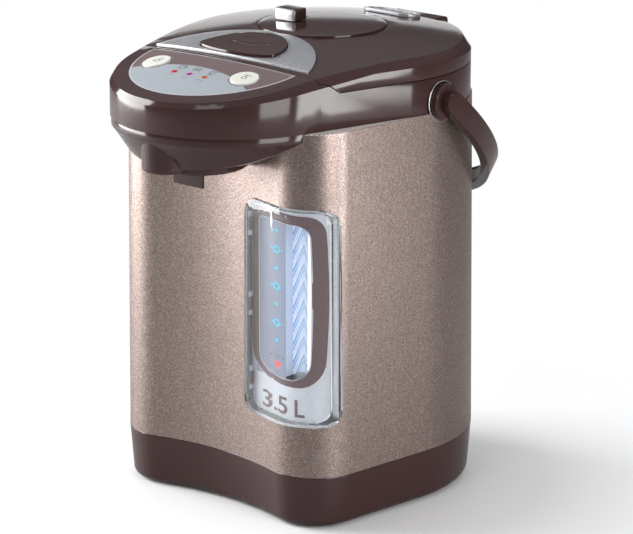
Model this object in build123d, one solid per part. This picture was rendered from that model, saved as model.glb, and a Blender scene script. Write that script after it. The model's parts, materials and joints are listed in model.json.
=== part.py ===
from build123d import *
from math import asin, cos, radians, sin, sqrt, tan
import os

# Electric thermo pot, 3.5 litres, with an electric pump and a hand pump in the lid.
# Millimetres. The pot's axis is x = y = 0 while modelling, the front faces -Y, +Z is up and
# the feet stand on z = 0. At the end everything moves along Y, so that the frame's origin
# lies under the middle of the whole pot, handle and nose included.

# ---------------------------------------------------------------- driving dimensions
# body, seen from above: a half round at the rear, sides that close in, a hollow front
BODY_R = 101.5            # rear half round, outside, at the seam over the base
BODY_DRAFT = 0.53         # degrees that the wall leans in towards the top
BODY_TAPER = 5.0          # degrees that each side closes in towards the front
BODY_FRONT = 123.5        # pot axis to the front corners before they are rounded
FRONT_HOLLOW = 24.5       # how far the front wall curves in between those corners
CORNER_R = 32.0
SHELL_WALL = 0.8          # painted steel sheet
BASE_TOP = 36.0           # seam between base and steel shell
NECK = 262.8              # seam between steel shell and head
SEAT = 0.3                # clearance of a piece that drops into another

# base
BASE_DRAFT = 4.5          # degrees
BASE_ROUND = 5.5
BASE_WALL = 3.0
FOOT_H = 1.2              # how far the rubber feet stand out of the base
FOOT_R = 9.0
FOOT_SINK = 1.2
PLATE_INSET = 14.0        # edge of the bottom plate, inside the body outline
PLATE_T = 2.5
LEDGE = 8.0               # width of the ledge that the bottom plate is screwed to
LEDGE_T = 3.0
SCREW_HEAD_R = 3.2
SCREW_R = 1.5
SCREW_SINK = 1.4
SCREW_LONG = 8.0
VENT_SLOT = (34.0, 3.0)
VENT_PITCH = 7.0
VENT_SLOTS = 5

# head, seen from above: a big round at the rear and a smaller one at the nose
HEAD_R = BODY_R - 3.1
NOSE_R = 78.5
NOSE_REACH = 87.5         # pot axis to the nose's centre
HEAD_WALL = 2.5
HEAD_HIGH = 22.8          # seam over the shell to the lid's seam
LID_SEAM = NECK + HEAD_HIGH   # underside of the lid along the sides
CROWN_TOP = LID_SEAM + 23.0   # highest point of the lid
CROWN_R = 560.0           # the whole top is part of a large sphere
SHOULDER = 35.5           # degrees from upright of the bevel round the top
RIM_Z = LID_SEAM + 9.3    # foot of that bevel along the sides
RIM_FRONT = (-50.0, 6.4)  # from this y the rim falls towards the nose, by this angle
RIM_REAR = (20.0, 2.8)    # and from this y towards the rear

# lid parting
LID_FRONT = 96.5          # pot axis to the middle of the lid's front edge
LID_FRONT_R = 530.0       # that edge is slightly curved
LID_GAP = 0.5
LID_WALL = 2.5
LID_STEP = ((-76.5, 0.0), (-86.5, 7.0))   # the seam climbs to the rim: y, height over the seam

# nose underside and spout
LIP_Z = NECK - 5.7
LIP_INSET = 0.7
FLOOR_T = 2.4
SPOUT_Y = -NOSE_REACH - 31.5
DISH_R = 33.0
DISH_TOP = LIP_Z - 19.1
DISH_Z = DISH_TOP - 4.0
HULL_R = 140.0            # the underside is a shallow bowl of this radius
HULL_LEAN = 33.5          # degrees from upright, where the bowl is cut under the nose's front
TONGUE_R = 15.5
TONGUE_Y = SPOUT_Y - 29.5
TONGUE_Z = DISH_Z + 1.5
NOZZLE = (25.8, 1.6)      # splash guard in front of the outlet: X, Y
NOZZLE_Z = DISH_Z - 12.4
NOZZLE_FRONT = SPOUT_Y - 9.8
NOZZLE_BORE = 4.0
NOZZLE_FLANGE = (30.0, 22.0)

# inner pot
POT_R = BODY_R - 25.5     # inside
POT_WALL = 0.8
POT_FLOOR = 64.8          # inside
POT_RIM = NECK + 5.2
POT_CORNER = 9.0
POT_FLANGE_R = POT_R + 7.0
MOUTH_R = POT_R + 4.5     # plastic ring between pot and head deck
MOUTH_WALL = 2.4
MOUTH_LIP = 2.0

# gauge window
GAUGE_X = 23.3            # left edge, on the hollow front
GAUGE_Y = 36.5 - BODY_FRONT   # right edge, on the side
GAUGE_Z = (70.5, 213.5)
GAUGE_CORNER = 11.0
GAUGE_PROUD = 2.5
GAUGE_WALL = 1.6
GAUGE_DEPTH = 5.0         # printed plate behind the steel shell
CARD_T = 1.0
# ring on the plate, drawn square to the body's corner: across from that corner, height,
# radii at top left, bottom left, top right and bottom right, and how far its right side bows
RING_TURN = 42.0          # degrees from the front
RING_OUTER = ((-39.2, 6.8), (94.4, 208.3), (5.0, 18.0, 12.0, 20.0), 1.6)
RING_INNER = ((-36.1, -4.1), (98.9, 201.6), (3.0, 12.0, 8.5, 14.0), 1.2)
RING_T = 0.6
SCALE_EDGE = -19.1        # right edge of the printed scale, across from the corner too
TUBE_PLACE = (3.4, -15.0)     # level tube, from the centre of the body's corner
TUBE_R = 6.5
TUBE_WALL = 1.5
TUBE_Z = (57.0, NECK - 26.8)
HOSE_WALL = 1.6
HOSE_BENDS = (8.0, 10.0)
CUFF_LONG = 8.0           # how far a hose reaches over the tube's end
STRIPE_HALF = 9.0
STRIPE_RIB = (2.0, 30.0)

# heater, pump and electronics
HEATER_R = 46.0
HEATER_T = 5.0
THERMOSTAT_R = 12.0
THERMOSTAT_T = 7.0
CRADLE_R = (63.0, 67.0)
CRADLE_T = 4.0
LEG_R = 5.0
LEGS = 3
PUMP_Y = 20.0 - POT_R
MOTOR_R = 17.0
MOTOR_TOP = 27.0
PUMP_R = 22.0
PUMP_TOP = 42.0
PORT_R = 5.0
PORT_BORE = 3.4
IMPELLER_R = 15.0
IMPELLER_HUB = (4.0, 6.0)     # radius, height
IMPELLER_BLADE = (1.2, 4.0)   # thickness, height
MAGNET_R = 11.0
SHAFT_R = 1.5
RUN_FIT = 0.05            # radial play of a turning pin
BOARD_T = 1.6
POWER_BOARD = (39.5 - BODY_R, 2.0, 48.0, 46.0)    # corner x, y, length, width
POWER_BOARD_Z = 14.0
COIL = (18.0, 16.0, 16.0)
RELAY = (12.0, 15.0, 12.0)
STORE_CAN = (5.0, 14.0)       # radius, height
HEAT_FIN = (20.0, 3.0, 14.0)
SOCKET = (24.6, 16.4, 17.0)               # mains inlet: width, height, depth
SOCKET_WALL = 2.4
SOCKET_Z = 21.0
SOCKET_INSET = 4.0
PIN = (2.0, 4.0, 13.0)
PIN_PITCH = 14.0

# control panel
PANEL_HALF = 62.5
PANEL_LONG = 60.5
PANEL_BACK = -94.0
PANEL_T = 1.0
PANEL_GAP = 2.2           # strip of head between lid and panel
BUTTON_X, BUTTON_Y = 38.6, -116.5
BUTTON_R = 9.4
BUTTON_PROUD = 1.0
BUTTON_TRAVEL = 1.2
LED_PITCH = 13.3
LED_Y = -126.5
LED_R = 1.7
CONTROL_DROP = 13.0       # circuit board under the panel
CONTROL_HALF = 46.0
CONTROL_WIDE = 34.0

# lid fittings
PRESS_R = 42.9            # hole for the hand pump's plate
PRESS_GAP = 0.5
PRESS_PROUD = 1.0
PRESS_WALL = 2.5
PRESS_TRAVEL = 20.0
GUIDE_R = 45.2
GUIDE_WALL = 1.2
PLUG_R = MOUTH_R - 2.7    # part of the lid that drops into the mouth
PLUG_Z = LID_SEAM - 9.1
LINER_T = 2.0
BELLOWS_R = (30.0, 37.5)
BELLOWS_FOLDS = 5
BELLOWS_WALL = 1.2
BELLOWS_CUFF = 2.0
BELLOWS_TOP = CROWN_TOP - 8.9
KNOB = (18.0, 13.0, 7.5)
KNOB_X, KNOB_Y = -20.0, -9.0
KNOB_TRAVEL = 9.0
KNOB_STEM = 4.6
TRIM_R, TRIM_Y = 71.2, -112.8
TRIM_FRONT = -92.5
TRIM_PROUD = 1.2
TRIM_T = 2.2
LATCH_HALF, LATCH_LONG = 32.3, 31.0
LATCH_Y = -81.4
LATCH_BOW = 9.5
LATCH_PROUD = 2.7
LATCH_RIM = 1.5           # the paddle's edge reaches this far under the lid's surface
LATCH_WALL = 2.0
LATCH_GAP = 0.5
DIMPLE = (38.0, 16.0, 1.4)    # finger hollow: X, Y, depth
LATCH_PIVOT_Y, LATCH_PIVOT_Z = -60.0, CROWN_TOP - 10.0
LATCH_PIN_R = 1.4
WELL_WALL = 1.2
WELL_Z = CROWN_TOP - 15.2
HOOK = (14.0, 1.6)        # width and thickness of the latch's nose
HOOK_REACH = 4.0          # how far that nose stands out in front of its arm's middle
CATCH = (17.0, 13.0, 6.0)     # pocket in the head under that nose: X, Y, depth
VENT_Y = HEAD_R - 27.4
VENT = (44.0, 19.0)       # outer size of its silver ring
VENT_RIM = 2.6
VENT_PROUD = 2.4
VENT_SUNK = 0.8           # pierced insert under the ring's top
GASKET = (POT_R - 3.0, MOUTH_R - 2.2)     # radii
GASKET_Z = POT_RIM + MOUTH_LIP + SEAT
INNER_LID_R = POT_R - 4.0

# hinge at the rear
HINGE_Y, HINGE_Z = HEAD_R - 2.4, LID_SEAM + 6.0
HINGE_HALF = 21.0
HINGE_BACK = HINGE_Y + 8.5
HINGE_TOP = HINGE_Z + 8.6
HINGE_LOW = LID_SEAM - 13.6
HINGE_FRONT = HINGE_Y - 10.5
NOTCH_HALF = 31.5
NOTCH_Y = HINGE_Y - 14.0
KNUCKLE_R = 4.4
HINGE_PIN_R = 2.2

# carrying handle
PIVOT_Y, PIVOT_Z = 4.8, NECK + 6.8
BOSS_R = 12.0
BOSS_X = BODY_R + 2.9
HANDLE_X = BODY_R + 9.6   # outside of each arm
HANDLE_T = 6.3
HANDLE_W = 14.6
HANDLE_ARM = 9.0          # straight part of each arm
HANDLE_REST = 39.5        # degrees below level at the rear
HANDLE_CLEAR = 5.75       # the hanging bail reaches this far behind the body
HANDLE_LONG = (BODY_R + HANDLE_CLEAR) / cos(radians(HANDLE_REST))
LINER_DEEP = 1.2
LINER_START = 20.0
STUB_R = 5.0
STUB_LONG = 5.2


# ---------------------------------------------------------------- shapes that many pieces share
def prism(face, low, high):
    return Pos(0, 0, low) * extrude(face, high - low)


def pipe(points, outer, bore, bend):
    """A tube along straight runs joined by round bends."""
    path = FilletPolyline(*points, radius=bend)
    start = Plane(origin=points[0], z_dir=path % 0)
    solid = sweep(start * Circle(outer), path=path)
    return solid - sweep(start * Circle(bore), path=path)


def body_outline(grow=0.0):
    """The pot's body from above, grown outwards by a distance."""
    turn = radians(BODY_TAPER)
    side = (-BODY_R * cos(turn), -BODY_R * sin(turn))
    run = (BODY_FRONT - BODY_R * sin(turn)) / cos(turn)
    corner = (side[0] + run * sin(turn), -BODY_FRONT)
    edges = [
        Line(side, corner),
        ThreePointArc(corner, (0, FRONT_HOLLOW - BODY_FRONT), (-corner[0], corner[1])),
        Line((-corner[0], corner[1]), (-side[0], side[1])),
        ThreePointArc((-side[0], side[1]), (0, BODY_R), side),
    ]
    face = make_face(Curve() + edges)
    front = face.vertices().sort_by(Axis.Y)[:2]
    face = fillet(front, CORNER_R)
    return offset(face, grow) if grow else face


def body_form(grow, low, high):
    """The body between two heights."""
    foot = body_outline(grow - (low - BASE_TOP) * tan(radians(BODY_DRAFT)))
    return Pos(0, 0, low) * extrude(foot, high - low, taper=BODY_DRAFT)


def head_outline(grow=0.0):
    """The head from above: two rounds and the straight sides that join them."""
    lean = asin((HEAD_R - NOSE_R) / NOSE_REACH)
    rear, nose = HEAD_R + grow, NOSE_R + grow
    back = (rear * cos(lean), -rear * sin(lean))
    front = (nose * cos(lean), -NOSE_REACH - nose * sin(lean))
    edges = [
        Line(back, front),
        ThreePointArc(front, (0, -NOSE_REACH - nose), (-front[0], front[1])),
        Line((-front[0], front[1]), (-back[0], back[1])),
        ThreePointArc((-back[0], back[1]), (0, rear), back),
    ]
    return make_face(Curve() + edges)


def crown_z(x, y, drop=0.0):
    """Height of the top surface, or of a surface inside it, over a point."""
    radius = CROWN_R - drop
    return CROWN_TOP - CROWN_R + sqrt(radius * radius - x * x - y * y)


def crown_frame(x, y):
    """A plane that touches the top surface at a point."""
    point = Vector(x, y, crown_z(x, y))
    up = (point - Vector(0, 0, CROWN_TOP - CROWN_R)).normalized()
    return Plane(origin=point, x_dir=Vector(0, 1, 0).cross(up), z_dir=up)


def under_crown(drop=0.0):
    return Pos(0, 0, CROWN_TOP - CROWN_R) * Rot(90, 0, 0) * Sphere(CROWN_R - drop)


def crown_skin(face, proud, inside):
    """A sheet that follows the top: outline in plan, height over it and depth under it."""
    block = prism(face, NECK, CROWN_TOP + 20)
    return block & under_crown(-proud) - under_crown(inside)


def roof(inset, start_y, tilt):
    """A steep hipped roof over the head's outline, tilted about a line across the pot."""
    skirt, rise = 80.0, 26.0
    lean = tan(radians(SHOULDER))
    fall = skirt / lean
    foot = head_outline(skirt - inset)
    ridge = Pos(0, 0, fall + rise) * head_outline(-inset - rise * lean)
    hip = loft([foot, ridge], ruled=True)
    return Pos(0, start_y, RIM_Z) * Rot(tilt, 0, 0) * Pos(0, -start_y, -fall) * hip


def head_form(inset=0.0, low=NECK):
    """Outer form of head and lid together, or the same form inside a wall."""
    form = prism(head_outline(-inset), low, CROWN_TOP + 5) & under_crown(inset)
    for start_y, tilt in ((0, 0), RIM_FRONT, (RIM_REAR[0], -RIM_REAR[1])):
        form = form & roof(inset, start_y, tilt)
    return form


def lid_zone(gap=0.0, low=None):
    """All that swings up with the lid; a gap draws its faces back."""
    (y_low, _), (y_high, climb) = LID_STEP
    low = LID_SEAM + gap if low is None else low
    step = LID_SEAM + gap
    high = CROWN_TOP + 20
    front = y_high - 30
    points = [(y_low + gap, step), (y_high + gap, step + climb), (front, step + climb),
              (front, high), (BODY_R + 40, high), (BODY_R + 40, low)]
    if low < step:
        points.append((y_low + gap, low))
    profile = make_face(Polyline(*points, close=True))
    block = extrude(Plane.YZ * profile, 2 * BODY_R, both=True)
    sweep_round = Pos(0, LID_FRONT_R - LID_FRONT, 0) * Cylinder(LID_FRONT_R - gap, 4 * high)
    return block & sweep_round


def half_ellipse(half, long, centre_y, toward):
    """An ellipse across the pot, cut along its long axis; toward is 1 rear or -1 front."""
    keep = Pos(0, centre_y + toward * long, 0) * Rectangle(4 * half, 2 * long)
    return Pos(0, centre_y, 0) * Ellipse(half, long) & keep


def latch_outline(grow=0.0):
    half = LATCH_HALF + grow
    rear = half_ellipse(half, LATCH_LONG + grow, LATCH_Y, 1)
    return rear + half_ellipse(half, LATCH_BOW + grow, LATCH_Y, -1)


def panel_outline(grow=0.0):
    front = Pos(0, PANEL_BACK, 0) * Ellipse(PANEL_HALF + grow, PANEL_LONG + grow)
    behind = Pos(0, LID_FRONT_R - LID_FRONT, 0) * Circle(LID_FRONT_R + PANEL_GAP - grow)
    return front - behind


def gauge_block(grow=0.0, z_grow=None, x=GAUGE_X, y=GAUGE_Y, z=GAUGE_Z, corner=GAUGE_CORNER):
    """The window's outline as a cutter that bends round the front corner of the body."""
    z_grow = grow if z_grow is None else z_grow
    far = 2 * BODY_R
    low, high = z[0] - z_grow, z[1] + z_grow
    left, right = x - grow, y + grow
    radius = max(corner + grow, 0.5)
    mid = (low + high) / 2
    front = Pos((left + far) / 2, 0, mid) * Box(far - left, far * 2, high - low)
    front = fillet(front.edges().filter_by(Axis.Y), radius)
    side = Pos(0, (right - far) / 2, mid) * Box(far * 2, far + right, high - low)
    side = fillet(side.edges().filter_by(Axis.X), radius)
    return front & side


def corner_plane():
    """Upright plane through the centre of the body's corner, facing away from it."""
    corner = corner_centre()
    turn = radians(RING_TURN)
    return Plane(origin=(corner.X, corner.Y, 0), x_dir=(cos(turn), sin(turn), 0),
                 z_dir=(sin(turn), -cos(turn), 0))


def ring_block(shape):
    """Cutter for one edge of the printed ring, drawn square to the body's corner."""
    (left, right), (low, high), radii, bow = shape
    mid = (low + high) / 2
    rim = ThreePointArc((right, low), (right + bow, mid), (right, high))
    rest = Polyline((right, high), (left, high), (left, low), (right, low))
    face = make_face(Curve() + [rim] + rest.edges())
    places = ((left, high), (left, low), (right, high), (right, low))
    for place, radius in zip(places, radii):
        tip = min(face.vertices(), key=lambda v: (v.X - place[0]) ** 2 + (v.Y - place[1]) ** 2)
        face = fillet([tip], radius)
    return extrude(corner_plane() * face, BODY_R)


def wall_sheet(outside, inside):
    """A sheet between two offsets of the body's wall, as high as the gauge window."""
    low, high = GAUGE_Z[0] - 20, GAUGE_Z[1] + 20
    return body_form(outside, low, high) - body_form(-inside, low, high)


def ring_solid(outer, inner, low, high):
    return prism(Circle(outer) - Circle(inner), low, high)


def corner_centre():
    """Centre of the rounding at the body's right front corner."""
    rounds = body_outline().edges().filter_by(GeomType.CIRCLE)
    corner = [e for e in rounds if abs(e.radius - CORNER_R) < 0.01]
    return max(corner, key=lambda e: e.arc_center.X).arc_center


TUBE_X = corner_centre().X + TUBE_PLACE[0]
TUBE_Y = corner_centre().Y + TUBE_PLACE[1]


def both_sides(places):
    return [(side * x, y) for x, y in places for side in (1, -1)]


def foot_places():
    corner = corner_centre()
    rear = 0.72 * BODY_R
    return both_sides([(corner.X - 1, corner.Y + 1), (rear * cos(0.75), rear * sin(0.75))])


def screw_places():
    corner = corner_centre()
    reach = CORNER_R - PLATE_INSET - LEDGE / 2
    rear = BODY_R - PLATE_INSET - LEDGE / 2
    front = (corner.X + reach * cos(0.785), corner.Y - reach * sin(0.785))
    return both_sides([front, (rear * cos(0.2), rear * sin(0.2))]) + [(0, rear)]


def leg_places():
    middle = sum(CRADLE_R) / 2
    turns = [radians(90 + 360 * n / LEGS) for n in range(LEGS)]
    return [(middle * cos(turn), middle * sin(turn)) for turn in turns]


def board_places():
    x, y, long, wide = POWER_BOARD
    edge = 4.0
    return [(x + dx, y + dy) for dx in (edge, long - edge) for dy in (edge, wide - edge)]


# ---------------------------------------------------------------- base
def base_skirt():
    height = BASE_TOP - FOOT_H
    outer = Pos(0, 0, BASE_TOP) * extrude(body_outline(), -height, taper=BASE_DRAFT)
    outer = fillet(outer.faces().sort_by(Axis.Z)[0].edges(), BASE_ROUND)
    floor = FOOT_H + PLATE_T + SEAT + LEDGE_T
    hollow = extrude(body_outline(-BASE_WALL), floor - BASE_TOP, taper=BASE_DRAFT)
    skirt = outer - Pos(0, 0, BASE_TOP) * hollow
    skirt = skirt - prism(body_outline(-PLATE_INSET - LEDGE), 0, floor)
    skirt = skirt - prism(body_outline(SEAT - PLATE_INSET), 0, FOOT_H + PLATE_T)
    for x, y in screw_places():
        skirt = skirt - Pos(x, y, FOOT_H + SCREW_LONG / 2) * Cylinder(SCREW_R, SCREW_LONG)
    width, height, _ = SOCKET
    around = 2 * (SOCKET_WALL + SEAT)
    port = Box(width + around, 60, height + around)
    return skirt - Pos(0, BODY_R, SOCKET_Z) * port


def bottom_plate():
    top = FOOT_H + PLATE_T
    plate = prism(body_outline(-PLATE_INSET), FOOT_H, top)
    sink = FOOT_H + SCREW_SINK
    long, wide = VENT_SLOT
    slot = Pos(0, 0, top) * Box(long, wide, 4 * PLATE_T)
    middle = (VENT_SLOTS - 1) / 2
    for place_y in (PUMP_Y + 2 * MOTOR_R, BODY_R * 0.35):
        for n in range(VENT_SLOTS):
            plate = plate - Pos(0, place_y + (n - middle) * VENT_PITCH, 0) * slot
    for x, y in screw_places():
        plate = plate - Pos(x, y, top) * Cylinder(SCREW_R, 4 * PLATE_T)
        plate = plate - Pos(x, y, 0) * prism(Circle(SCREW_HEAD_R + 0.2), 0, sink)
    for x, y in foot_places():
        plate = plate - Pos(x, y, FOOT_H + FOOT_SINK / 2) * Cylinder(FOOT_R, FOOT_SINK)
    for x, y in board_places():
        plate = plate + Pos(x, y, 0) * prism(Circle(3), top, POWER_BOARD_Z)
    return plate


def rubber_feet():
    foot = prism(Circle(FOOT_R), 0, FOOT_H + FOOT_SINK)
    foot = chamfer(foot.edges().group_by(Axis.Z)[0], 0.6)
    return [Pos(x, y, 0) * foot for x, y in foot_places()]


def base_screws():
    sink = FOOT_H + SCREW_SINK
    head = prism(Circle(SCREW_HEAD_R), FOOT_H + 0.1, sink)
    head = head + prism(Circle(SCREW_R), sink, FOOT_H + SCREW_LONG - 0.5)
    head = head - Pos(0, 0, FOOT_H + 0.1) * Box(0.9, 1.3 * SCREW_HEAD_R, 1.2)
    return [Pos(x, y, 0) * head for x, y in screw_places()]


def socket_front():
    """y of the mains inlet's face, set a little inside the base's rear wall."""
    return BODY_R - SOCKET_INSET


def power_inlet():
    width, height, depth = SOCKET
    front = socket_front()
    wall = 2 * SOCKET_WALL
    body = Box(width + wall, depth + SOCKET_WALL, height + wall)
    body = Pos(0, front - (depth + SOCKET_WALL) / 2, SOCKET_Z) * body
    mouth = Pos(0, front - depth / 2, SOCKET_Z) * Box(width, depth, height)
    mouth = fillet(mouth.edges().filter_by(Axis.Y), 3)
    body = body - mouth
    for x, z in pin_places():
        body = body - Pos(x, front - depth, z) * Box(PIN[0], 4 * SOCKET_WALL, PIN[1])
    return body


def pin_places():
    half = PIN_PITCH / 2
    return [(-half, SOCKET_Z - 2), (half, SOCKET_Z - 2), (0, SOCKET_Z + 2)]


def inlet_pins():
    wide, high, long = PIN
    back = socket_front() - SOCKET[2] - SOCKET_WALL - 5
    length = long + SOCKET_WALL + 5
    pin = Pos(0, back + length / 2, 0) * Box(wide, length, high)
    return [Pos(x, 0, z) * pin for x, z in pin_places()]


# ---------------------------------------------------------------- steel shell and gauge window
def outer_shell():
    shell = body_form(0, BASE_TOP, NECK) - body_form(-SHELL_WALL, BASE_TOP, NECK)
    return shell - gauge_block(SEAT)


def gauge_cover():
    """Clear box that bulges out of the shell and reaches in to the printed plate."""
    outer = wall_sheet(GAUGE_PROUD, GAUGE_DEPTH) & gauge_block()
    hollow = wall_sheet(GAUGE_PROUD - GAUGE_WALL, GAUGE_DEPTH + 1) & gauge_block(-GAUGE_WALL)
    return outer - hollow


def gauge_plate():
    """Printed plate: its scale fills the ring's left part, the rest is open to the level tube."""
    plate = wall_sheet(-GAUGE_DEPTH, GAUGE_DEPTH + CARD_T) & gauge_block()
    beyond = Pos(SCALE_EDGE + BODY_R / 2, sum(GAUGE_Z) / 2) * Rectangle(BODY_R, GAUGE_Z[1])
    return plate - (ring_block(RING_INNER) & extrude(corner_plane() * beyond, BODY_R))


def gauge_ring():
    sheet = wall_sheet(RING_T + SEAT - GAUGE_DEPTH, GAUGE_DEPTH - SEAT)
    return sheet & ring_block(RING_OUTER) - ring_block(RING_INNER)


def stripe_card():
    """Striped backing behind the level tube, on two ribs that reach the gauge plate."""
    low, high = RING_INNER[1]
    back = TUBE_Y + TUBE_R + SEAT
    card = Pos(TUBE_X, back + CARD_T / 2, (low + high) / 2)
    card = card * Box(2 * STRIPE_HALF, CARD_T, high - low)
    thick, deep = STRIPE_RIB
    rib = Pos(0, back + CARD_T - deep / 2, 0) * prism(Rectangle(thick, deep), low, high)
    ribs = [Pos(TUBE_X + side * (STRIPE_HALF + thick / 2), 0, 0) * rib for side in (-1, 1)]
    inside = body_form(-GAUGE_DEPTH - CARD_T, low, high)
    return card + [rib & inside for rib in ribs]


# ---------------------------------------------------------------- inner pot and heater
def inner_pot():
    out = POT_R + POT_WALL
    base = POT_FLOOR - POT_WALL
    can = prism(Circle(out), base, POT_RIM)
    can = fillet(can.edges().group_by(Axis.Z)[0], POT_CORNER)
    can = can + ring_solid(POT_FLANGE_R, POT_R + 0.1, POT_RIM - 1.2, POT_RIM)
    hollow = prism(Circle(POT_R), POT_FLOOR, POT_RIM + 1)
    hollow = fillet(hollow.edges().group_by(Axis.Z)[0], POT_CORNER - POT_WALL)
    spout = Pos(0, PUMP_Y, 0) * prism(Circle(PORT_R), base - 9, POT_FLOOR - 0.1)
    bore = Pos(0, PUMP_Y, 0) * prism(Circle(PORT_BORE), base - 10, POT_FLOOR + 1)
    return can - hollow + spout - bore


def heater_plate():
    top = POT_FLOOR - POT_WALL
    plate = prism(Circle(HEATER_R), top - HEATER_T, top)
    element = Pos(0, 0, top - HEATER_T) * Torus(HEATER_R - 8, 3.5)
    return plate + element - prism(Circle(200), top, top + 10)


def thermostat():
    top = POT_FLOOR - POT_WALL - HEATER_T
    body = prism(Circle(THERMOSTAT_R), top - THERMOSTAT_T, top)
    tab = Box(5, 1, 6)
    tabs = [Pos(side * 6, 0, top - THERMOSTAT_T - 2) * tab for side in (-1, 1)]
    return body + tabs


def pot_cradle():
    top = POT_FLOOR - POT_WALL
    floor = FOOT_H + PLATE_T
    ring = ring_solid(CRADLE_R[1], CRADLE_R[0], top - CRADLE_T, top)
    legs = [Pos(x, y, 0) * prism(Circle(LEG_R), floor, top - CRADLE_T / 2) for x, y in leg_places()]
    return ring + legs


def mouth_ring():
    """Plastic ring that carries the steam seal, between the pot's rim and the head deck."""
    ring = ring_solid(MOUTH_R + MOUTH_WALL, MOUTH_R, POT_RIM, LID_SEAM)
    lip = ring_solid(MOUTH_R + 0.1, POT_R, POT_RIM, POT_RIM + MOUTH_LIP)
    return ring + lip


# ---------------------------------------------------------------- pump and water way
def motor_case():
    floor = FOOT_H + PLATE_T
    can = prism(Circle(MOTOR_R), floor, MOTOR_TOP)
    room = prism(Circle(MOTOR_R - 1.6), floor + 3, MOTOR_TOP + 1)
    bush = prism(Circle(SHAFT_R + RUN_FIT), floor + 1, floor + 4)
    return Pos(0, PUMP_Y, 0) * (can - room - bush)


def motor_rotor():
    floor = FOOT_H + PLATE_T
    shaft = prism(Circle(SHAFT_R), floor + 1.2, MOTOR_TOP - 1)
    magnet = prism(Circle(MAGNET_R), MOTOR_TOP - 10, MOTOR_TOP - 1.5)
    return Pos(0, PUMP_Y, 0) * (shaft + magnet)


def outlet_y():
    return PUMP_Y - PUMP_R + PORT_R + 2


def pump_housing():
    """Wet half of the pump: a closed can with inlet on top and outlet at its side."""
    can = prism(Circle(PUMP_R), MOTOR_TOP, PUMP_TOP)
    room = prism(Circle(PUMP_R - 3), MOTOR_TOP + 1.5, PUMP_TOP - 2.5)
    inlet = prism(Circle(PORT_R), PUMP_TOP, PUMP_TOP + 7)
    inlet_bore = prism(Circle(PORT_BORE), PUMP_TOP - 5, PUMP_TOP + 8)
    post = prism(Circle(SHAFT_R), MOTOR_TOP + 1.4, PUMP_TOP - 5)
    level = (MOTOR_TOP + PUMP_TOP) / 2
    reach = PUMP_R + 8
    across = Plane(origin=(0, outlet_y() - PUMP_Y, level), z_dir=(1, 0, 0))
    outlet = extrude(across * Circle(PORT_R), reach)
    bore = extrude(across * Circle(PORT_BORE), reach + 1)
    return Pos(0, PUMP_Y, 0) * (can + inlet + outlet - room - inlet_bore - bore + post)


def pump_impeller():
    level = MOTOR_TOP + 2.0
    hub_r, hub_high = IMPELLER_HUB
    thick, high = IMPELLER_BLADE
    disc = prism(Circle(IMPELLER_R), level, level + 1.6)
    hub = prism(Circle(hub_r), level, level + hub_high)
    long = IMPELLER_R - hub_r + 1
    blade = Pos(IMPELLER_R - long / 2 - 0.5, 0, level + 1 + high / 2) * Box(long, thick, high)
    wheel = disc + hub + [Rot(0, 0, 60 * n) * blade for n in range(6)]
    return Pos(0, PUMP_Y, 0) * (wheel - prism(Circle(SHAFT_R + RUN_FIT), level - 1, PUMP_TOP))


def inlet_hose():
    low, high = PUMP_TOP + 1, POT_FLOOR - POT_WALL - 1
    hose = ring_solid(PORT_R + HOSE_WALL, PORT_R, low, high)
    return Pos(0, PUMP_Y, 0) * hose


def tube_cuff(end, inward):
    """Cuff of a hose over one end of the level tube; inward is 1 up or -1 down."""
    back, tip = end - inward * HOSE_WALL, end + inward * CUFF_LONG
    cuff = ring_solid(TUBE_R + HOSE_WALL, PORT_R, min(back, tip), max(back, tip))
    return Pos(TUBE_X, TUBE_Y, 0) * (cuff - prism(Circle(TUBE_R), min(end, tip), max(end, tip)))


def riser_hose():
    level = (MOTOR_TOP + PUMP_TOP) / 2
    start = PUMP_R + 1
    end = TUBE_Z[0]
    points = [(start, outlet_y(), level), ((start + TUBE_X) / 2, outlet_y(), level),
              (TUBE_X, TUBE_Y, level), (TUBE_X, TUBE_Y, end - HOSE_WALL / 2)]
    return pipe(points, PORT_R + HOSE_WALL, PORT_R, HOSE_BENDS) + tube_cuff(end, 1)


def level_tube():
    low, high = TUBE_Z
    return Pos(TUBE_X, TUBE_Y, 0) * ring_solid(TUBE_R, TUBE_R - TUBE_WALL, low, high)


def spout_pipe():
    outer = PORT_R + HOSE_WALL
    level = NECK + outer + 2 * SEAT
    end = TUBE_Z[1]
    points = [(TUBE_X, TUBE_Y, end + HOSE_WALL / 2), (TUBE_X, TUBE_Y, level),
              (0, SPOUT_Y, level), (0, SPOUT_Y, DISH_Z + FLOOR_T + 2)]
    return pipe(points, outer, PORT_R, max(HOSE_BENDS)) + tube_cuff(end, -1)


# ---------------------------------------------------------------- head
def head_housing():
    """Fixed part of the head: nose, side walls and the deck that the lid closes on."""
    form = head_form() - lid_zone()
    cavity = head_form(HEAD_WALL, NECK - 5) - lid_zone(-HEAD_WALL)
    head = form - cavity - prism(Circle(MOUTH_R + MOUTH_WALL), NECK, CROWN_TOP)
    head = head - crown_skin(panel_outline(SEAT / 2), 5, PANEL_T) - catch_pocket()
    for x, radius in button_places():
        head = head - bore_at(x, BUTTON_Y, radius + 0.4)
    for x in led_places():
        head = head - bore_at(x, LED_Y, LED_R)
    for x, y in control_posts():
        post = prism(Circle(2.4), board_z(x, y) + 0.65, crown_z(x, y) - 0.7 * HEAD_WALL)
        head = head + Pos(x, y, 0) * post
    # nose and rear are two solids that meet in line with the lid's front edge
    rear = Pos(0, LID_FRONT_R - LID_FRONT, NECK) * Cylinder(LID_FRONT_R, 8 * HEAD_HIGH)
    return [head - rear, head & rear]


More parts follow.
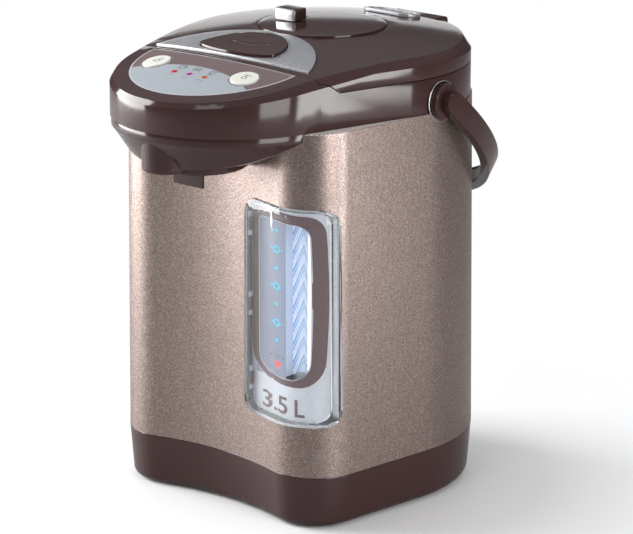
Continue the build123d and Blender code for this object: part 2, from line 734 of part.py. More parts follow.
def bore_at(x, y, radius, depth=12.0):
    """A cutter square to the crown."""
    return Location(crown_frame(x, y)) * Pos(0, 0, -depth / 2 + 4) * Cylinder(radius, depth + 8)


def button_places():
    return [(-BUTTON_X, BUTTON_R), (BUTTON_X, BUTTON_R)]


def led_places():
    return [-LED_PITCH, 0, LED_PITCH]


def board_frame():
    """Plane of the control board, parallel to the panel."""
    middle = crown_frame(0, LED_Y)
    return middle.offset(-CONTROL_DROP)


def board_z(x, y):
    plane = board_frame()
    n, o = plane.z_dir, plane.origin
    return o.Z - (n.X * (x - o.X) + n.Y * (y - o.Y)) / n.Z


def control_posts():
    """Two posts at the board's front corners and two between the buttons."""
    dx, dy = CONTROL_HALF - 4, CONTROL_WIDE / 2 - 3.5
    return both_sides([(dx, LED_Y - dy), (dx / 2, LED_Y + dy)])


def control_board():
    board = Box(2 * CONTROL_HALF, CONTROL_WIDE, BOARD_T)
    board = Location(board_frame()) * Pos(0, 0, -BOARD_T / 2) * board
    switch = Box(6, 6, 4.0)
    parts = []
    for x, _ in button_places():
        parts.append(Pos(x, BUTTON_Y, board_z(x, BUTTON_Y) + 1.9) * switch)
    return board + parts


def control_panel():
    panel = crown_skin(panel_outline(-SEAT / 2), 0, PANEL_T)
    for x, radius in button_places():
        panel = panel - bore_at(x, BUTTON_Y, radius + 0.4)
    for x in led_places():
        panel = panel - bore_at(x, LED_Y, LED_R)
    return panel


def led_lenses():
    depth = CONTROL_DROP - 0.5
    lens = Pos(0, 0, 0.3 - depth / 2) * Cylinder(LED_R, depth)
    return [Location(crown_frame(x, LED_Y)) * lens for x in led_places()]


def push_button(x):
    """Round cap with a stem that ends just over its switch."""
    frame = crown_frame(x, BUTTON_Y)
    gap = crown_z(x, BUTTON_Y) - board_z(x, BUTTON_Y) - 3.9
    stem_long = gap * frame.z_dir.Z - BUTTON_TRAVEL - SEAT
    cap = Pos(0, 0, BUTTON_PROUD - 2.5) * Cylinder(BUTTON_R, 5)
    cap = fillet(cap.edges().group_by(Axis.Z)[-1], 0.8)
    stem = Pos(0, 0, -stem_long / 2) * Cylinder(2.2, stem_long)
    return Location(frame) * (cap + stem)


def hull(inset=0.0):
    """The nose's underside as a solid: a bowl, drawn in steeply under the nose's front."""
    low, high = DISH_TOP, LIP_Z + inset + 0.5
    draw = (high - low) * tan(radians(HULL_LEAN))
    rim = Pos(0, 0, high) * head_outline(-LIP_INSET - inset)
    foot = Pos(0, 0, low) * head_outline(-LIP_INSET - inset - draw)
    centre = DISH_TOP + sqrt(HULL_R ** 2 - DISH_R ** 2)
    bowl = Pos(0, SPOUT_Y, centre) * Rot(90, 0, 0) * Sphere(HULL_R - inset)
    return loft([foot, rim], ruled=True) & bowl


def tongue_outline(grow=0.0):
    round_end = Pos(0, TONGUE_Y, 0) * Circle(TONGUE_R + grow)
    straight = Rectangle(2 * (TONGUE_R + grow), SPOUT_Y - TONGUE_Y)
    return round_end + Pos(0, (TONGUE_Y + SPOUT_Y) / 2, 0) * straight


def nose_under():
    """Underside of the nose: lip, bowl, round dish and the tongue in front of the outlet."""
    wall = FLOOR_T
    plan = head_outline(-LIP_INSET)
    dish = Pos(0, SPOUT_Y, 0) * prism(Circle(DISH_R), DISH_Z, DISH_TOP + 1)
    dish = chamfer(dish.edges().group_by(Axis.Z)[0], 1.5)
    tongue = prism(tongue_outline(), TONGUE_Z, LIP_Z + 1)
    tongue = fillet(tongue.edges().group_by(Axis.Z)[0], 2.5)
    solid = prism(plan, LIP_Z, NECK) + hull() + (dish + tongue)
    room = prism(head_outline(-LIP_INSET - wall), LIP_Z + wall, NECK + 1) + hull(wall)
    room = room + Pos(0, SPOUT_Y, 0) * prism(Circle(DISH_R - wall), DISH_Z + wall, NECK)
    room = room + prism(tongue_outline(-wall), TONGUE_Z + wall, NECK)
    front = Pos(0, -250 - 0.88 * BODY_R, 0) * Box(400, 500, 1200)
    solid = (solid - room) & front
    wide, deep = NOZZLE
    slot = Pos(0, NOZZLE_FRONT + deep / 2, DISH_Z) * Box(wide, deep, 20)
    hole = Pos(0, SPOUT_Y, 0) * prism(Circle(NOZZLE_BORE + 2), DISH_Z - 5, DISH_Z + 10)
    return solid - slot - hole - body_form(SEAT, 150, NECK)


def spout_nozzle():
    """Outlet with its splash guard, held by a flange on the dish, and a spigot for the hose."""
    wide, deep = NOZZLE
    top = DISH_Z + FLOOR_T
    guard = Pos(0, NOZZLE_FRONT + deep / 2, (NOZZLE_Z + top) / 2)
    guard = guard * Box(wide, deep, top - NOZZLE_Z)
    flange = Pos(0, SPOUT_Y - 1, top + 0.7) * Box(*NOZZLE_FLANGE, 1.4)
    outlet = Pos(0, SPOUT_Y, 0) * prism(Circle(NOZZLE_BORE + 2), DISH_Z - 0.5, top + 0.1)
    spigot = Pos(0, SPOUT_Y, 0) * prism(Circle(PORT_R), top, top + 10)
    bore = Pos(0, SPOUT_Y, 0) * prism(Circle(NOZZLE_BORE), DISH_Z - 2, top + 11)
    return guard + flange + outlet + spigot - bore


def handle_bosses():
    """A round seat on each side of the head with the stub that the handle turns on."""
    parts = []
    for side in (-1, 1):
        along = Plane(origin=(side * (BODY_R - 12), PIVOT_Y, PIVOT_Z), z_dir=(side, 0, 0))
        disc = extrude(along * Circle(BOSS_R), BOSS_X - BODY_R + 12)
        disc = chamfer(disc.edges().group_by(Axis.X)[-1 if side > 0 else 0], 1)
        stub = extrude(along * Circle(STUB_R), BOSS_X + STUB_LONG - BODY_R + 12)
        boss = disc + stub
        boss = boss - prism(head_outline(), NECK, CROWN_TOP)
        parts.append(boss - body_form(0, 150, NECK))
    return parts


def hinge_block():
    """Hinge cover on the rear of the head, bored for the lid's pin."""
    middle = (HINGE_FRONT + HINGE_BACK) / 2
    top = Pos(0, middle, (LID_SEAM + HINGE_TOP) / 2)
    top = top * Box(2 * HINGE_HALF, HINGE_BACK - HINGE_FRONT, HINGE_TOP - LID_SEAM)
    back = Pos(0, middle, (HINGE_LOW + LID_SEAM) / 2)
    back = back * Box(2 * HINGE_HALF, HINGE_BACK - HINGE_FRONT, LID_SEAM - HINGE_LOW)
    block = top + (back - prism(head_outline(), 0, LID_SEAM))
    block = fillet(block.edges().filter_by(Axis.X).group_by(Axis.Z)[-1], 3)
    return block - hinge_rod(HINGE_PIN_R, 2 * NOTCH_HALF)


def hinge_rod(radius, length):
    return Pos(0, HINGE_Y, HINGE_Z) * Rot(0, 90, 0) * Cylinder(radius, length)


def hinge_pin():
    return hinge_rod(HINGE_PIN_R, 2 * (NOTCH_HALF - 1))


# ---------------------------------------------------------------- lid
def notch(grow=0.0):
    """Cut-out at the lid's rear that clears the hinge block."""
    half, front = NOTCH_HALF + grow, NOTCH_Y - grow
    return Pos(0, front + BODY_R / 2, LID_SEAM) * Box(2 * half, BODY_R, 4 * HEAD_HIGH)


def lid_cover():
    cover = head_form() & lid_zone(LID_GAP)
    room = head_form(LID_WALL, NECK) & lid_zone(LID_GAP + LID_WALL, NECK)
    cover = cover - (room - notch(LID_WALL)) - notch()
    cover = cover - prism(Circle(PRESS_R), NECK, CROWN_TOP + 5)
    cover = cover - prism(latch_outline(LATCH_GAP), NECK, CROWN_TOP + 5)
    cover = cover - prism(vent_outline(-VENT_RIM), NECK, CROWN_TOP + 5)
    tub = prism(latch_outline(LATCH_GAP + WELL_WALL), NECK, CROWN_TOP) & under_crown(LID_WALL)
    cover = cover - tub - hook_window() - hinge_arm_space()
    return cover - crown_skin(trim_outline(SEAT), 5, TRIM_T - TRIM_PROUD)


def hook_top():
    return crown_z(0, -LID_FRONT, LID_WALL) - SEAT


def hook_window():
    """Slot in the lid's front edge and in the latch well, for the nose to move in."""
    low, high = LID_SEAM, hook_top() + SEAT / 2
    front, back = -LID_FRONT - 1, LATCH_Y + 2
    slot = Box(HOOK[0] + 2 * LID_GAP, back - front, high - low)
    return Pos(0, (front + back) / 2, (low + high) / 2) * slot


def catch_pocket():
    wide, deep, high = CATCH
    top = LID_SEAM + LID_STEP[1][1] + 1
    return Pos(0, -LID_FRONT + deep / 2, top - high / 2) * Box(wide, deep, high)


def hinge_arm_space():
    """Openings for the hinge arms in the wall of the lid's notch."""
    wide = NOTCH_HALF - HINGE_HALF - 2.0
    middle = HINGE_HALF + 1.0 + wide / 2
    height = LID_GAP + 6 + SEAT
    gap = Box(wide + 2 * SEAT, 4 * LID_WALL, height)
    return [Pos(side * middle, NOTCH_Y, LID_SEAM + height / 2) * gap for side in (-1, 1)]


def trim_outline(grow=0.0):
    """Silver half moon round the latch, open to the hand pump's round plate."""
    moon = Pos(0, TRIM_Y, 0) * Circle(TRIM_R + grow)
    front = Pos(0, LID_FRONT_R + TRIM_FRONT, 0) * Circle(LID_FRONT_R + grow)
    return moon & front - Circle(PRESS_R + LID_GAP - grow)


def lid_trim():
    trim = crown_skin(trim_outline(), TRIM_PROUD, TRIM_T - TRIM_PROUD)
    return trim - prism(latch_outline(LATCH_GAP), NECK, CROWN_TOP + 5)


def vent_outline(grow=0.0):
    long, wide = VENT
    return Pos(0, VENT_Y, 0) * SlotOverall(long + 2 * grow, wide + 2 * grow)


def vent_trim():
    ring = vent_outline() - vent_outline(-VENT_RIM)
    return crown_skin(ring, VENT_PROUD, 0)


def vent_insert():
    """Pierced cover of the steam outlet, sunk in its ring."""
    insert = crown_skin(vent_outline(-VENT_RIM), VENT_PROUD - VENT_SUNK, LID_WALL)
    pitch = 5.0
    for n in range(-3, 4):
        hole = Pos(n * pitch, VENT_Y, 0) * prism(Circle(1.1), NECK, CROWN_TOP + 5)
        insert = insert - hole
    return insert


def lid_liner():
    """Inner half of the lid: flange, plug, pump guide, steam duct and hinge knuckles."""
    step = LID_SEAM + LID_GAP
    flange = prism(head_outline(-LID_WALL - SEAT), step, step + LINER_T)
    flange = flange & lid_zone(LID_GAP + LID_WALL + SEAT, step) - notch(LID_WALL + SEAT)
    plug = prism(Circle(PLUG_R), PLUG_Z, step + LINER_T)
    room = prism(Circle(PLUG_R - LINER_T), PLUG_Z + LINER_T, step + LINER_T + 1)
    reach = crown_z(GUIDE_R, 0, LID_WALL) - 0.6
    guide = ring_solid(GUIDE_R + GUIDE_WALL, GUIDE_R, PLUG_Z + LINER_T, reach)
    duct_y = VENT_Y - 4
    top = crown_z(0, VENT_Y + 5, LID_WALL) - 0.3
    duct = Pos(0, duct_y, 0) * ring_solid(6.5, 5, PLUG_Z + LINER_T / 2, top)
    liner = flange + plug - room + duct
    liner = liner - Pos(0, duct_y, 0) * prism(Circle(5), PLUG_Z - 1, top + 1)
    liner = liner + [hinge_arm(side) for side in (-1, 1)]
    return [liner - hinge_rod(HINGE_PIN_R + RUN_FIT, 200), guide]


def hinge_arm(side):
    low, high = LID_SEAM + LID_GAP + 0.4, LID_SEAM + LID_GAP + 6
    wide = NOTCH_HALF - HINGE_HALF - 2.0
    middle = side * (HINGE_HALF + 1.0 + wide / 2)
    start = NOTCH_Y - LID_WALL - 6
    arm = Pos(middle, (start + HINGE_Y) / 2, (low + high) / 2)
    arm = arm * Box(wide, HINGE_Y - start, high - low)
    barrel = Pos(middle, HINGE_Y, HINGE_Z) * Rot(0, 90, 0) * Cylinder(KNUCKLE_R, wide)
    return arm + barrel


def lid_gasket():
    inner, outer = GASKET
    return ring_solid(outer, inner, GASKET_Z, PLUG_Z)


def inner_lid_plate():
    plate = prism(Circle(INNER_LID_R), PLUG_Z - 1, PLUG_Z)
    rim = ring_solid(INNER_LID_R, INNER_LID_R - 1, PLUG_Z - 4, PLUG_Z)
    plate = plate + rim
    for n in range(5):
        hole = Pos((n - 2) * 4, VENT_Y - 4, 0) * prism(Circle(1.2), PLUG_Z - 3, PLUG_Z + 1)
        plate = plate - hole
    return plate


def press_plate():
    """Round plate of the hand pump: a capped sleeve with a stop flange."""
    radius = PRESS_R - PRESS_GAP
    inner = radius - PRESS_WALL
    stop = crown_z(GUIDE_R, 0, LID_WALL) - 0.4
    low = BELLOWS_TOP
    plate = prism(Circle(radius), low, CROWN_TOP + 5) & under_crown(-PRESS_PROUD)
    hollow = prism(Circle(inner), low - 1, CROWN_TOP) & under_crown(PRESS_WALL - PRESS_PROUD)
    flange = ring_solid(GUIDE_R - 0.6, inner + 0.5, stop - 1.6, stop)
    seat = ring_solid(BELLOWS_R[1] - 1, BELLOWS_R[1] - 4, low, CROWN_TOP - PRESS_WALL)
    plate = plate - hollow + flange + seat
    slot = Box(KNOB_STEM + 1, KNOB[1] / 2 + KNOB_TRAVEL + 1, 30)
    slot_y = KNOB_Y + KNOB_TRAVEL / 2
    return plate - Pos(KNOB_X, slot_y, CROWN_TOP) * slot


def bellows():
    inner, outer = BELLOWS_R
    low, high = PLUG_Z + LINER_T + SEAT, BELLOWS_TOP
    foot = low + BELLOWS_CUFF
    fold = (high - low - 2 * BELLOWS_CUFF) / BELLOWS_FOLDS

    def profile(inset):
        points = [(0, low + inset), (outer - inset, low + inset), (outer - inset, foot)]
        for n in range(BELLOWS_FOLDS):
            points.append((inner - inset, foot + (n + 0.5) * fold))
            points.append((outer - inset, foot + (n + 1) * fold))
        points += [(outer - inset, high - inset), (0, high - inset)]
        return make_face(Polyline(*points, close=True))

    return revolve(Plane.XZ * (profile(0) - profile(BELLOWS_WALL)), Axis.Z)


def lock_knob():
    """Slider that locks the hand pump, with a stem and foot through the plate."""
    wide, deep, high = KNOB
    ground = crown_z(KNOB_X + wide / 2, 0) + PRESS_PROUD + SEAT
    knob = Pos(KNOB_X, KNOB_Y, ground + high / 2) * Box(wide, deep, high)
    knob = fillet(knob.edges().filter_by(Axis.Z), 2)
    knob = chamfer(knob.edges().group_by(Axis.Z)[-1], 0.8)
    foot_top = crown_z(KNOB_X, KNOB_Y - KNOB[1], PRESS_WALL) + PRESS_PROUD - 2 * SEAT
    stem = Box(KNOB_STEM, KNOB[1] / 2, ground - foot_top + 1)
    stem = Pos(KNOB_X, KNOB_Y, (ground + foot_top) / 2) * stem
    foot = Pos(KNOB_X, KNOB_Y, foot_top - 0.6) * Box(KNOB_STEM + 5, KNOB[1] / 2, 1.2)
    return knob + stem + foot


def latch_paddle():
    """Lens-shaped finger plate with its pivot lugs and the hook arm under it."""
    under = LATCH_PROUD - LATCH_WALL
    lens = crown_skin(latch_outline(), LATCH_PROUD, LATCH_RIM)
    lens = lens - crown_skin(latch_outline(-LATCH_WALL), under, LATCH_RIM + 1)
    middle = LATCH_Y + 0.35 * LATCH_LONG
    long, wide, deep = DIMPLE
    ball = (long ** 2 / 4 + deep ** 2) / (2 * deep)
    scoop = scale(Sphere(ball), (1, wide / long, 1))
    lift = crown_z(0, middle) + LATCH_PROUD - deep
    lens = lens - Pos(0, middle, lift + ball) * scoop
    lugs = []
    for side in (-1, 1):
        lug = Pos(side * 12, LATCH_PIVOT_Y, LATCH_PIVOT_Z) * Rot(0, 90, 0) * Cylinder(3, 4)
        neck_top = crown_z(12, LATCH_PIVOT_Y) + under + 0.3
        neck = Pos(side * 12, LATCH_PIVOT_Y, (LATCH_PIVOT_Z + neck_top) / 2)
        lugs += [lug, neck * Box(4, 5, neck_top - LATCH_PIVOT_Z)]
    front = LATCH_Y - HOOK_REACH
    wide, thick = HOOK
    low = hook_top() - thick
    top = crown_z(0, LATCH_Y) + under + 0.3
    arm = Pos(0, LATCH_Y, (low + top) / 2) * Box(wide, 2.4, top - low)
    nose = Pos(0, (front + LATCH_Y) / 2, low + thick / 2) * Box(wide, LATCH_Y - front, thick)
    paddle = lens + lugs + arm + nose
    return paddle - latch_rod(LATCH_PIN_R + RUN_FIT, 60)


def latch_rod(radius, length):
    return Pos(0, LATCH_PIVOT_Y, LATCH_PIVOT_Z) * Rot(0, 90, 0) * Cylinder(radius, length)


def latch_well():
    """Tub under the latch that carries its pin and closes the lid below it."""
    gap = LATCH_GAP
    tub = prism(latch_outline(gap + WELL_WALL), WELL_Z, CROWN_TOP) & under_crown(LID_WALL)
    tub = tub - prism(latch_outline(gap), WELL_Z + WELL_WALL, CROWN_TOP)
    return tub - hook_window() - latch_rod(LATCH_PIN_R, 80)


def latch_pin():
    rear = LATCH_LONG + LATCH_GAP + WELL_WALL
    side = LATCH_HALF + LATCH_GAP + WELL_WALL
    half = side * sqrt(1 - ((LATCH_PIVOT_Y - LATCH_Y) / rear) ** 2)
    return latch_rod(LATCH_PIN_R, 2 * half - 1)


# ---------------------------------------------------------------- carrying handle
def bail_loop(outside, inside):
    """The bail in its own plane: straight arms and a half ellipse, rear towards +Y."""
    bow = HANDLE_LONG - HANDLE_ARM

    def region(inset):
        half = HANDLE_X - inset
        arms = Pos(0, HANDLE_ARM / 2 - 10, 0) * Rectangle(2 * half, HANDLE_ARM + 20)
        return arms + Pos(0, HANDLE_ARM, 0) * Ellipse(half, bow - inset)

    return region(outside) - region(inside)


def bail_place():
    return Pos(0, PIVOT_Y, PIVOT_Z) * Rot(-HANDLE_REST, 0, 0)


def carry_handle():
    loop = extrude(bail_loop(0, HANDLE_T), HANDLE_W / 2, both=True)
    end = Rot(0, 90, 0) * Cylinder(HANDLE_W / 2, 4 * HANDLE_X)
    keep = Pos(0, HANDLE_LONG, 0) * Box(4 * HANDLE_X, 2 * HANDLE_LONG, 2 * HANDLE_W) + end
    loop = loop & keep
    bore = Rot(0, 90, 0) * Cylinder(STUB_R + RUN_FIT, 2 * (BOSS_X + STUB_LONG + SEAT))
    return bail_place() * (loop - bail_lining() - bore)


def bail_lining():
    """The strip let into the bail's inner side, in the bail's own plane."""
    strip = extrude(bail_loop(HANDLE_T - LINER_DEEP, HANDLE_T), HANDLE_W / 2 - 2.5, both=True)
    keep = Box(4 * HANDLE_X, 2 * HANDLE_LONG, 2 * HANDLE_W)
    return strip & Pos(0, HANDLE_LONG + LINER_START, 0) * keep


def handle_liner():
    return bail_place() * bail_lining()


# ---------------------------------------------------------------- electronics in the base
def power_board():
    x, y, long, wide = POWER_BOARD
    board = Pos(x + long / 2, y + wide / 2, POWER_BOARD_Z + BOARD_T / 2)
    return board * Box(long, wide, BOARD_T)


def power_parts():
    x, y, long, wide = POWER_BOARD
    top = POWER_BOARD_Z + BOARD_T
    left, right, near, back = x + 0.3 * long, x + 0.76 * long, y + 0.28 * wide, y + 0.8 * wide
    coil = Pos(left, near, top + COIL[2] / 2) * Box(*COIL)
    relay = Pos(right, near, top + RELAY[2] / 2) * Box(*RELAY)
    can = Pos(right, back, 0) * prism(Circle(STORE_CAN[0]), top, top + STORE_CAN[1])
    fins = Pos(left, back, top + HEAT_FIN[2] / 2) * Box(*HEAT_FIN)
    return [coil, relay, can, fins]


# ---------------------------------------------------------------- all pieces
BUILDERS = {
    "base_skirt": base_skirt, "bottom_plate": bottom_plate, "rubber_feet": rubber_feet,
    "base_screws": base_screws, "power_inlet": power_inlet, "inlet_pins": inlet_pins,
    "outer_shell": outer_shell, "gauge_cover": gauge_cover, "gauge_plate": gauge_plate,
    "gauge_ring": gauge_ring, "stripe_card": stripe_card, "level_tube": level_tube,
    "inner_pot": inner_pot, "heater_plate": heater_plate, "thermostat": thermostat,
    "pot_cradle": pot_cradle, "mouth_ring": mouth_ring, "motor_case": motor_case,
    "motor_rotor": motor_rotor, "pump_housing": pump_housing,
    "pump_impeller": pump_impeller, "inlet_hose": inlet_hose, "riser_hose": riser_hose,
    "spout_pipe": spout_pipe, "head_housing": head_housing, "control_panel": control_panel,
    "led_lenses": led_lenses, "control_board": control_board, "nose_under": nose_under,
    "spout_nozzle": spout_nozzle, "handle_bosses": handle_bosses,
    "hinge_block": hinge_block, "hinge_pin": hinge_pin, "lid_cover": lid_cover,
    "lid_trim": lid_trim, "vent_trim": vent_trim, "vent_insert": vent_insert,
    "lid_liner": lid_liner, "lid_gasket": lid_gasket, "inner_lid_plate": inner_lid_plate,
    "latch_well": latch_well, "latch_pin": latch_pin, "latch_paddle": latch_paddle,
    "press_plate": press_plate, "bellows": bellows, "lock_knob": lock_knob,
    "carry_handle": carry_handle, "handle_liner": handle_liner,
    "power_board": power_board, "power_parts": power_parts,
    "unlock_button": lambda: push_button(-BUTTON_X),
    "dispense_button": lambda: push_button(BUTTON_X),
}


def solids_of(shape):
    items = shape if isinstance(shape, (list, tuple)) else [shape]
    return [solid for item in items for solid in item.solids()]


def main():
    os.makedirs("parts", exist_ok=True)
    pieces = {name: Compound(children=solids_of(make())) for name, make in BUILDERS.items()}
    whole = Compound(children=[Compound(children=p.solids()) for p in pieces.values()])
    box = whole.bounding_box()
    middle = (box.min.Y + box.max.Y) / 2
    for name, piece in pieces.items():
        export_step(piece.moved(Location((0, -middle, 0))), f"parts/{name}.step")
    print(f"pot axis lies at y = {-middle:.4f} mm in the frame")


main()
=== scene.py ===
"""Electric thermo pot: finishes, printed signs, trim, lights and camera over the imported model."""
import json
from math import cos, pi, radians, sin

import bpy
from mathutils import Matrix, Vector

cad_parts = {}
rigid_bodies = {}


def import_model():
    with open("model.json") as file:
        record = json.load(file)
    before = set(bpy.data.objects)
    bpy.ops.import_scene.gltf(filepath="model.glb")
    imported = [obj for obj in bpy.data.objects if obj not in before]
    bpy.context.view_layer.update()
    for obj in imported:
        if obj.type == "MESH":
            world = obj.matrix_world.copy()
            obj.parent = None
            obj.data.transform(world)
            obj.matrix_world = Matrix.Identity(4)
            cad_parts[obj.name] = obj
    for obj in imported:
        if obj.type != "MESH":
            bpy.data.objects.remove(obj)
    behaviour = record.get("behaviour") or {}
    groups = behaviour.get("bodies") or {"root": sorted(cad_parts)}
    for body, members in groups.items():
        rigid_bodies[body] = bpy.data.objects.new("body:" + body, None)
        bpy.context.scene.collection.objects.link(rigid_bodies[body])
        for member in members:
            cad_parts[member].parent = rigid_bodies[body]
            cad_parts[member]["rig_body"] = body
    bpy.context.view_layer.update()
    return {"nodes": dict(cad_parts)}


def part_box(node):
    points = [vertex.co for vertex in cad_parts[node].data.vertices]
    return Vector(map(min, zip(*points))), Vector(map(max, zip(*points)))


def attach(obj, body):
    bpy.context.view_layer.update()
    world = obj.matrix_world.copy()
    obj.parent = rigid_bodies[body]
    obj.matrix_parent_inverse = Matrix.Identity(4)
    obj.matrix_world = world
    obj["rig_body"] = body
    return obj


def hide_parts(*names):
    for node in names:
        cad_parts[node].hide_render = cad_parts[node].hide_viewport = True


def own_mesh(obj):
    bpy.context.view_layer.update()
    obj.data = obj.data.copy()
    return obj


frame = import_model()
nodes = frame["nodes"]

# ------------------------------------------------------------------ sizes, in metres
MM = 0.001


def middle(node, axis):
    low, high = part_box(node)
    return (low[axis] + high[axis]) / 2


AXIS_Y = middle("inner_pot", 1)          # the pot's upright axis
PANEL_BACK = AXIS_Y - 94.0 * MM          # straight rear edge of the control panel
PANEL_HALF, PANEL_LONG = 62.3 * MM, 60.3 * MM   # half its width, and its reach to the front
BUTTON_X = 38.6 * MM
BUTTON_Y = AXIS_Y - 116.5 * MM
LED_Y = AXIS_Y - 126.5 * MM
LED_PITCH = 13.3 * MM


# ------------------------------------------------------------------ modelling by hand, in code
def deselect():
    bpy.ops.object.select_all(action="DESELECT")


def take(piece):
    """Makes one object the active and only selected one."""
    deselect()
    piece.select_set(True)
    bpy.context.view_layer.objects.active = piece


def settle(piece, name):
    """Names a piece and puts its place into its mesh."""
    take(piece)
    piece.name = name
    piece.data.name = name
    bpy.ops.object.transform_apply(location=True, rotation=True, scale=True)
    return piece


def finish_with(piece, kind, **settings):
    """Adds a modifier and applies it."""
    take(piece)
    modifier = piece.modifiers.new(kind.title(), kind)
    for key, value in settings.items():
        setattr(modifier, key, value)
    bpy.ops.object.modifier_apply(modifier=modifier.name)


def smooth(piece, angle=35):
    take(piece)
    bpy.ops.object.shade_smooth_by_angle(angle=radians(angle))


def paint(piece, material):
    piece.data.materials.clear()
    piece.data.materials.append(material)


# ------------------------------------------------------------------ node tools
def new_material(name):
    material = bpy.data.materials.new(name)
    material.use_nodes = True
    tree = material.node_tree
    tree.nodes.clear()
    shader = tree.nodes.new("ShaderNodeBsdfPrincipled")
    output = tree.nodes.new("ShaderNodeOutputMaterial")
    tree.links.new(shader.outputs[0], output.inputs["Surface"])
    return material, tree, shader


def feed(tree, socket, value):
    """Sets a socket to a number or a colour, or links another socket to it."""
    if isinstance(value, (int, float)):
        socket.default_value = value
    elif isinstance(value, tuple):
        socket.default_value = (*value, 1)
    else:
        tree.links.new(value, socket)


def math_node(tree, operation, *values):
    node = tree.nodes.new("ShaderNodeMath")
    node.operation = operation
    for socket, value in zip(node.inputs, values):
        feed(tree, socket, value)
    return node.outputs[0]


def mix_colour(tree, factor, first, second, blend="MIX"):
    node = tree.nodes.new("ShaderNodeMix")
    node.data_type = "RGBA"
    node.blend_type = blend
    for index, value in ((0, factor), (6, first), (7, second)):
        feed(tree, node.inputs[index], value)
    return node.outputs[2]


def shaded(tree, colour, shade):
    """A colour times a grey of the given brightness."""
    grey = tree.nodes.new("ShaderNodeCombineColor")
    for socket in grey.inputs[:3]:
        tree.links.new(shade, socket)
    return mix_colour(tree, 1.0, colour, grey.outputs[0], "MULTIPLY")


def colour_ramp(tree, value, stops):
    """Colours along a value from 0 to 1; the first and the last stop are the ramp's ends."""
    ramp = tree.nodes.new("ShaderNodeValToRGB")
    marks = ramp.color_ramp.elements
    for mark, (position, colour) in zip(marks, (stops[0], stops[-1])):
        mark.position, mark.color = position, (*colour, 1)
    for position, colour in stops[1:-1]:
        marks.new(position).color = (*colour, 1)
    tree.links.new(value, ramp.inputs[0])
    return ramp.outputs[0]


def object_xyz(tree):
    place = tree.nodes.new("ShaderNodeTexCoord")
    split = tree.nodes.new("ShaderNodeSeparateXYZ")
    tree.links.new(place.outputs["Object"], split.inputs[0])
    return place.outputs["Object"], split.outputs[0], split.outputs[1], split.outputs[2]


def new_group(name, inputs, outputs):
    """An empty shader group with named sockets; each is (name, kind, start value)."""
    group = bpy.data.node_groups.new(name, "ShaderNodeTree")
    kinds = {"value": "NodeSocketFloat", "colour": "NodeSocketColor", "vector": "NodeSocketVector"}
    for label, kind, start in inputs:
        socket = group.interface.new_socket(label, in_out="INPUT", socket_type=kinds[kind])
        socket.default_value = (*start, 1) if kind == "colour" else start
    for label, kind in outputs:
        group.interface.new_socket(label, in_out="OUTPUT", socket_type=kinds[kind])
    return group, group.nodes.new("NodeGroupInput"), group.nodes.new("NodeGroupOutput")


def place_group(tree, group, **values):
    node = tree.nodes.new("ShaderNodeGroup")
    node.node_tree = group
    for label, value in values.items():
        feed(tree, node.inputs[label.replace("_", " ")], value)
    return node


def noise(tree, scale, detail, roughness, place):
    """Noise of a fixed scale, or of one that a socket gives."""
    node = tree.nodes.new("ShaderNodeTexNoise")
    node.inputs["Detail"].default_value = detail
    node.inputs["Roughness"].default_value = roughness
    feed(tree, node.inputs["Scale"], scale)
    tree.links.new(place, node.inputs["Vector"])
    return node.outputs["Fac"]


def bump(tree, height, distance, strength, below=None):
    """A relief; its strength is a number or a socket, and it may lie on another relief."""
    node = tree.nodes.new("ShaderNodeBump")
    node.inputs["Distance"].default_value = distance
    feed(tree, node.inputs["Strength"], strength)
    tree.links.new(height, node.inputs["Height"])
    if below is not None:
        tree.links.new(below, node.inputs["Normal"])
    return node.outputs[0]


# ------------------------------------------------------------------ effects that finishes share
GRAIN_HIGH = 0.1 * MM                    # height of grain, flakes and scratches at strength 1
WAVES_HIGH = 0.6 * MM


def make_moulding():
    """Moulded plastic: a fine skin, slow waves and faint handling marks."""
    group, start, end = new_group(
        "moulded_skin",
        [("Colour", "colour", (0.1, 0.1, 0.1)), ("Roughness", "value", 0.3),
         ("Grain Scale", "value", 2200.0), ("Grain Depth", "value", 0.02),
         ("Marks", "value", 0.3)],
        [("Colour", "colour"), ("Roughness", "value"), ("Normal", "vector")])
    place, _, _, _ = object_xyz(group)
    grain = noise(group, start.outputs["Grain Scale"], 2.0, 0.5, place)
    waves = noise(group, 26.0, 2.0, 0.5, place)
    cloud = noise(group, 60.0, 5.0, 0.6, place)
    streak = noise(group, 420.0, 3.0, 0.7, place)
    worn = math_node(group, "MULTIPLY", math_node(group, "SUBTRACT", cloud, 0.5),
                     start.outputs["Marks"])
    rough = math_node(group, "ADD", start.outputs["Roughness"],
                      math_node(group, "MULTIPLY", worn, 0.35))
    fine = math_node(group, "MULTIPLY", math_node(group, "SUBTRACT", streak, 0.5), 0.03)
    rough = math_node(group, "MAXIMUM", math_node(group, "ADD", rough, fine), 0.03)
    group.links.new(rough, end.inputs["Roughness"])
    lighter = mix_colour(group, 0.5, start.outputs["Colour"], (0.5, 0.48, 0.46))
    spread = math_node(group, "MULTIPLY", math_node(group, "ABSOLUTE", worn), 0.10)
    group.links.new(mix_colour(group, spread, start.outputs["Colour"], lighter),
                    end.inputs["Colour"])
    relief = bump(group, waves, WAVES_HIGH, 0.05)
    relief = bump(group, grain, GRAIN_HIGH, start.outputs["Grain Depth"], relief)
    group.links.new(relief, end.inputs["Normal"])
    return group


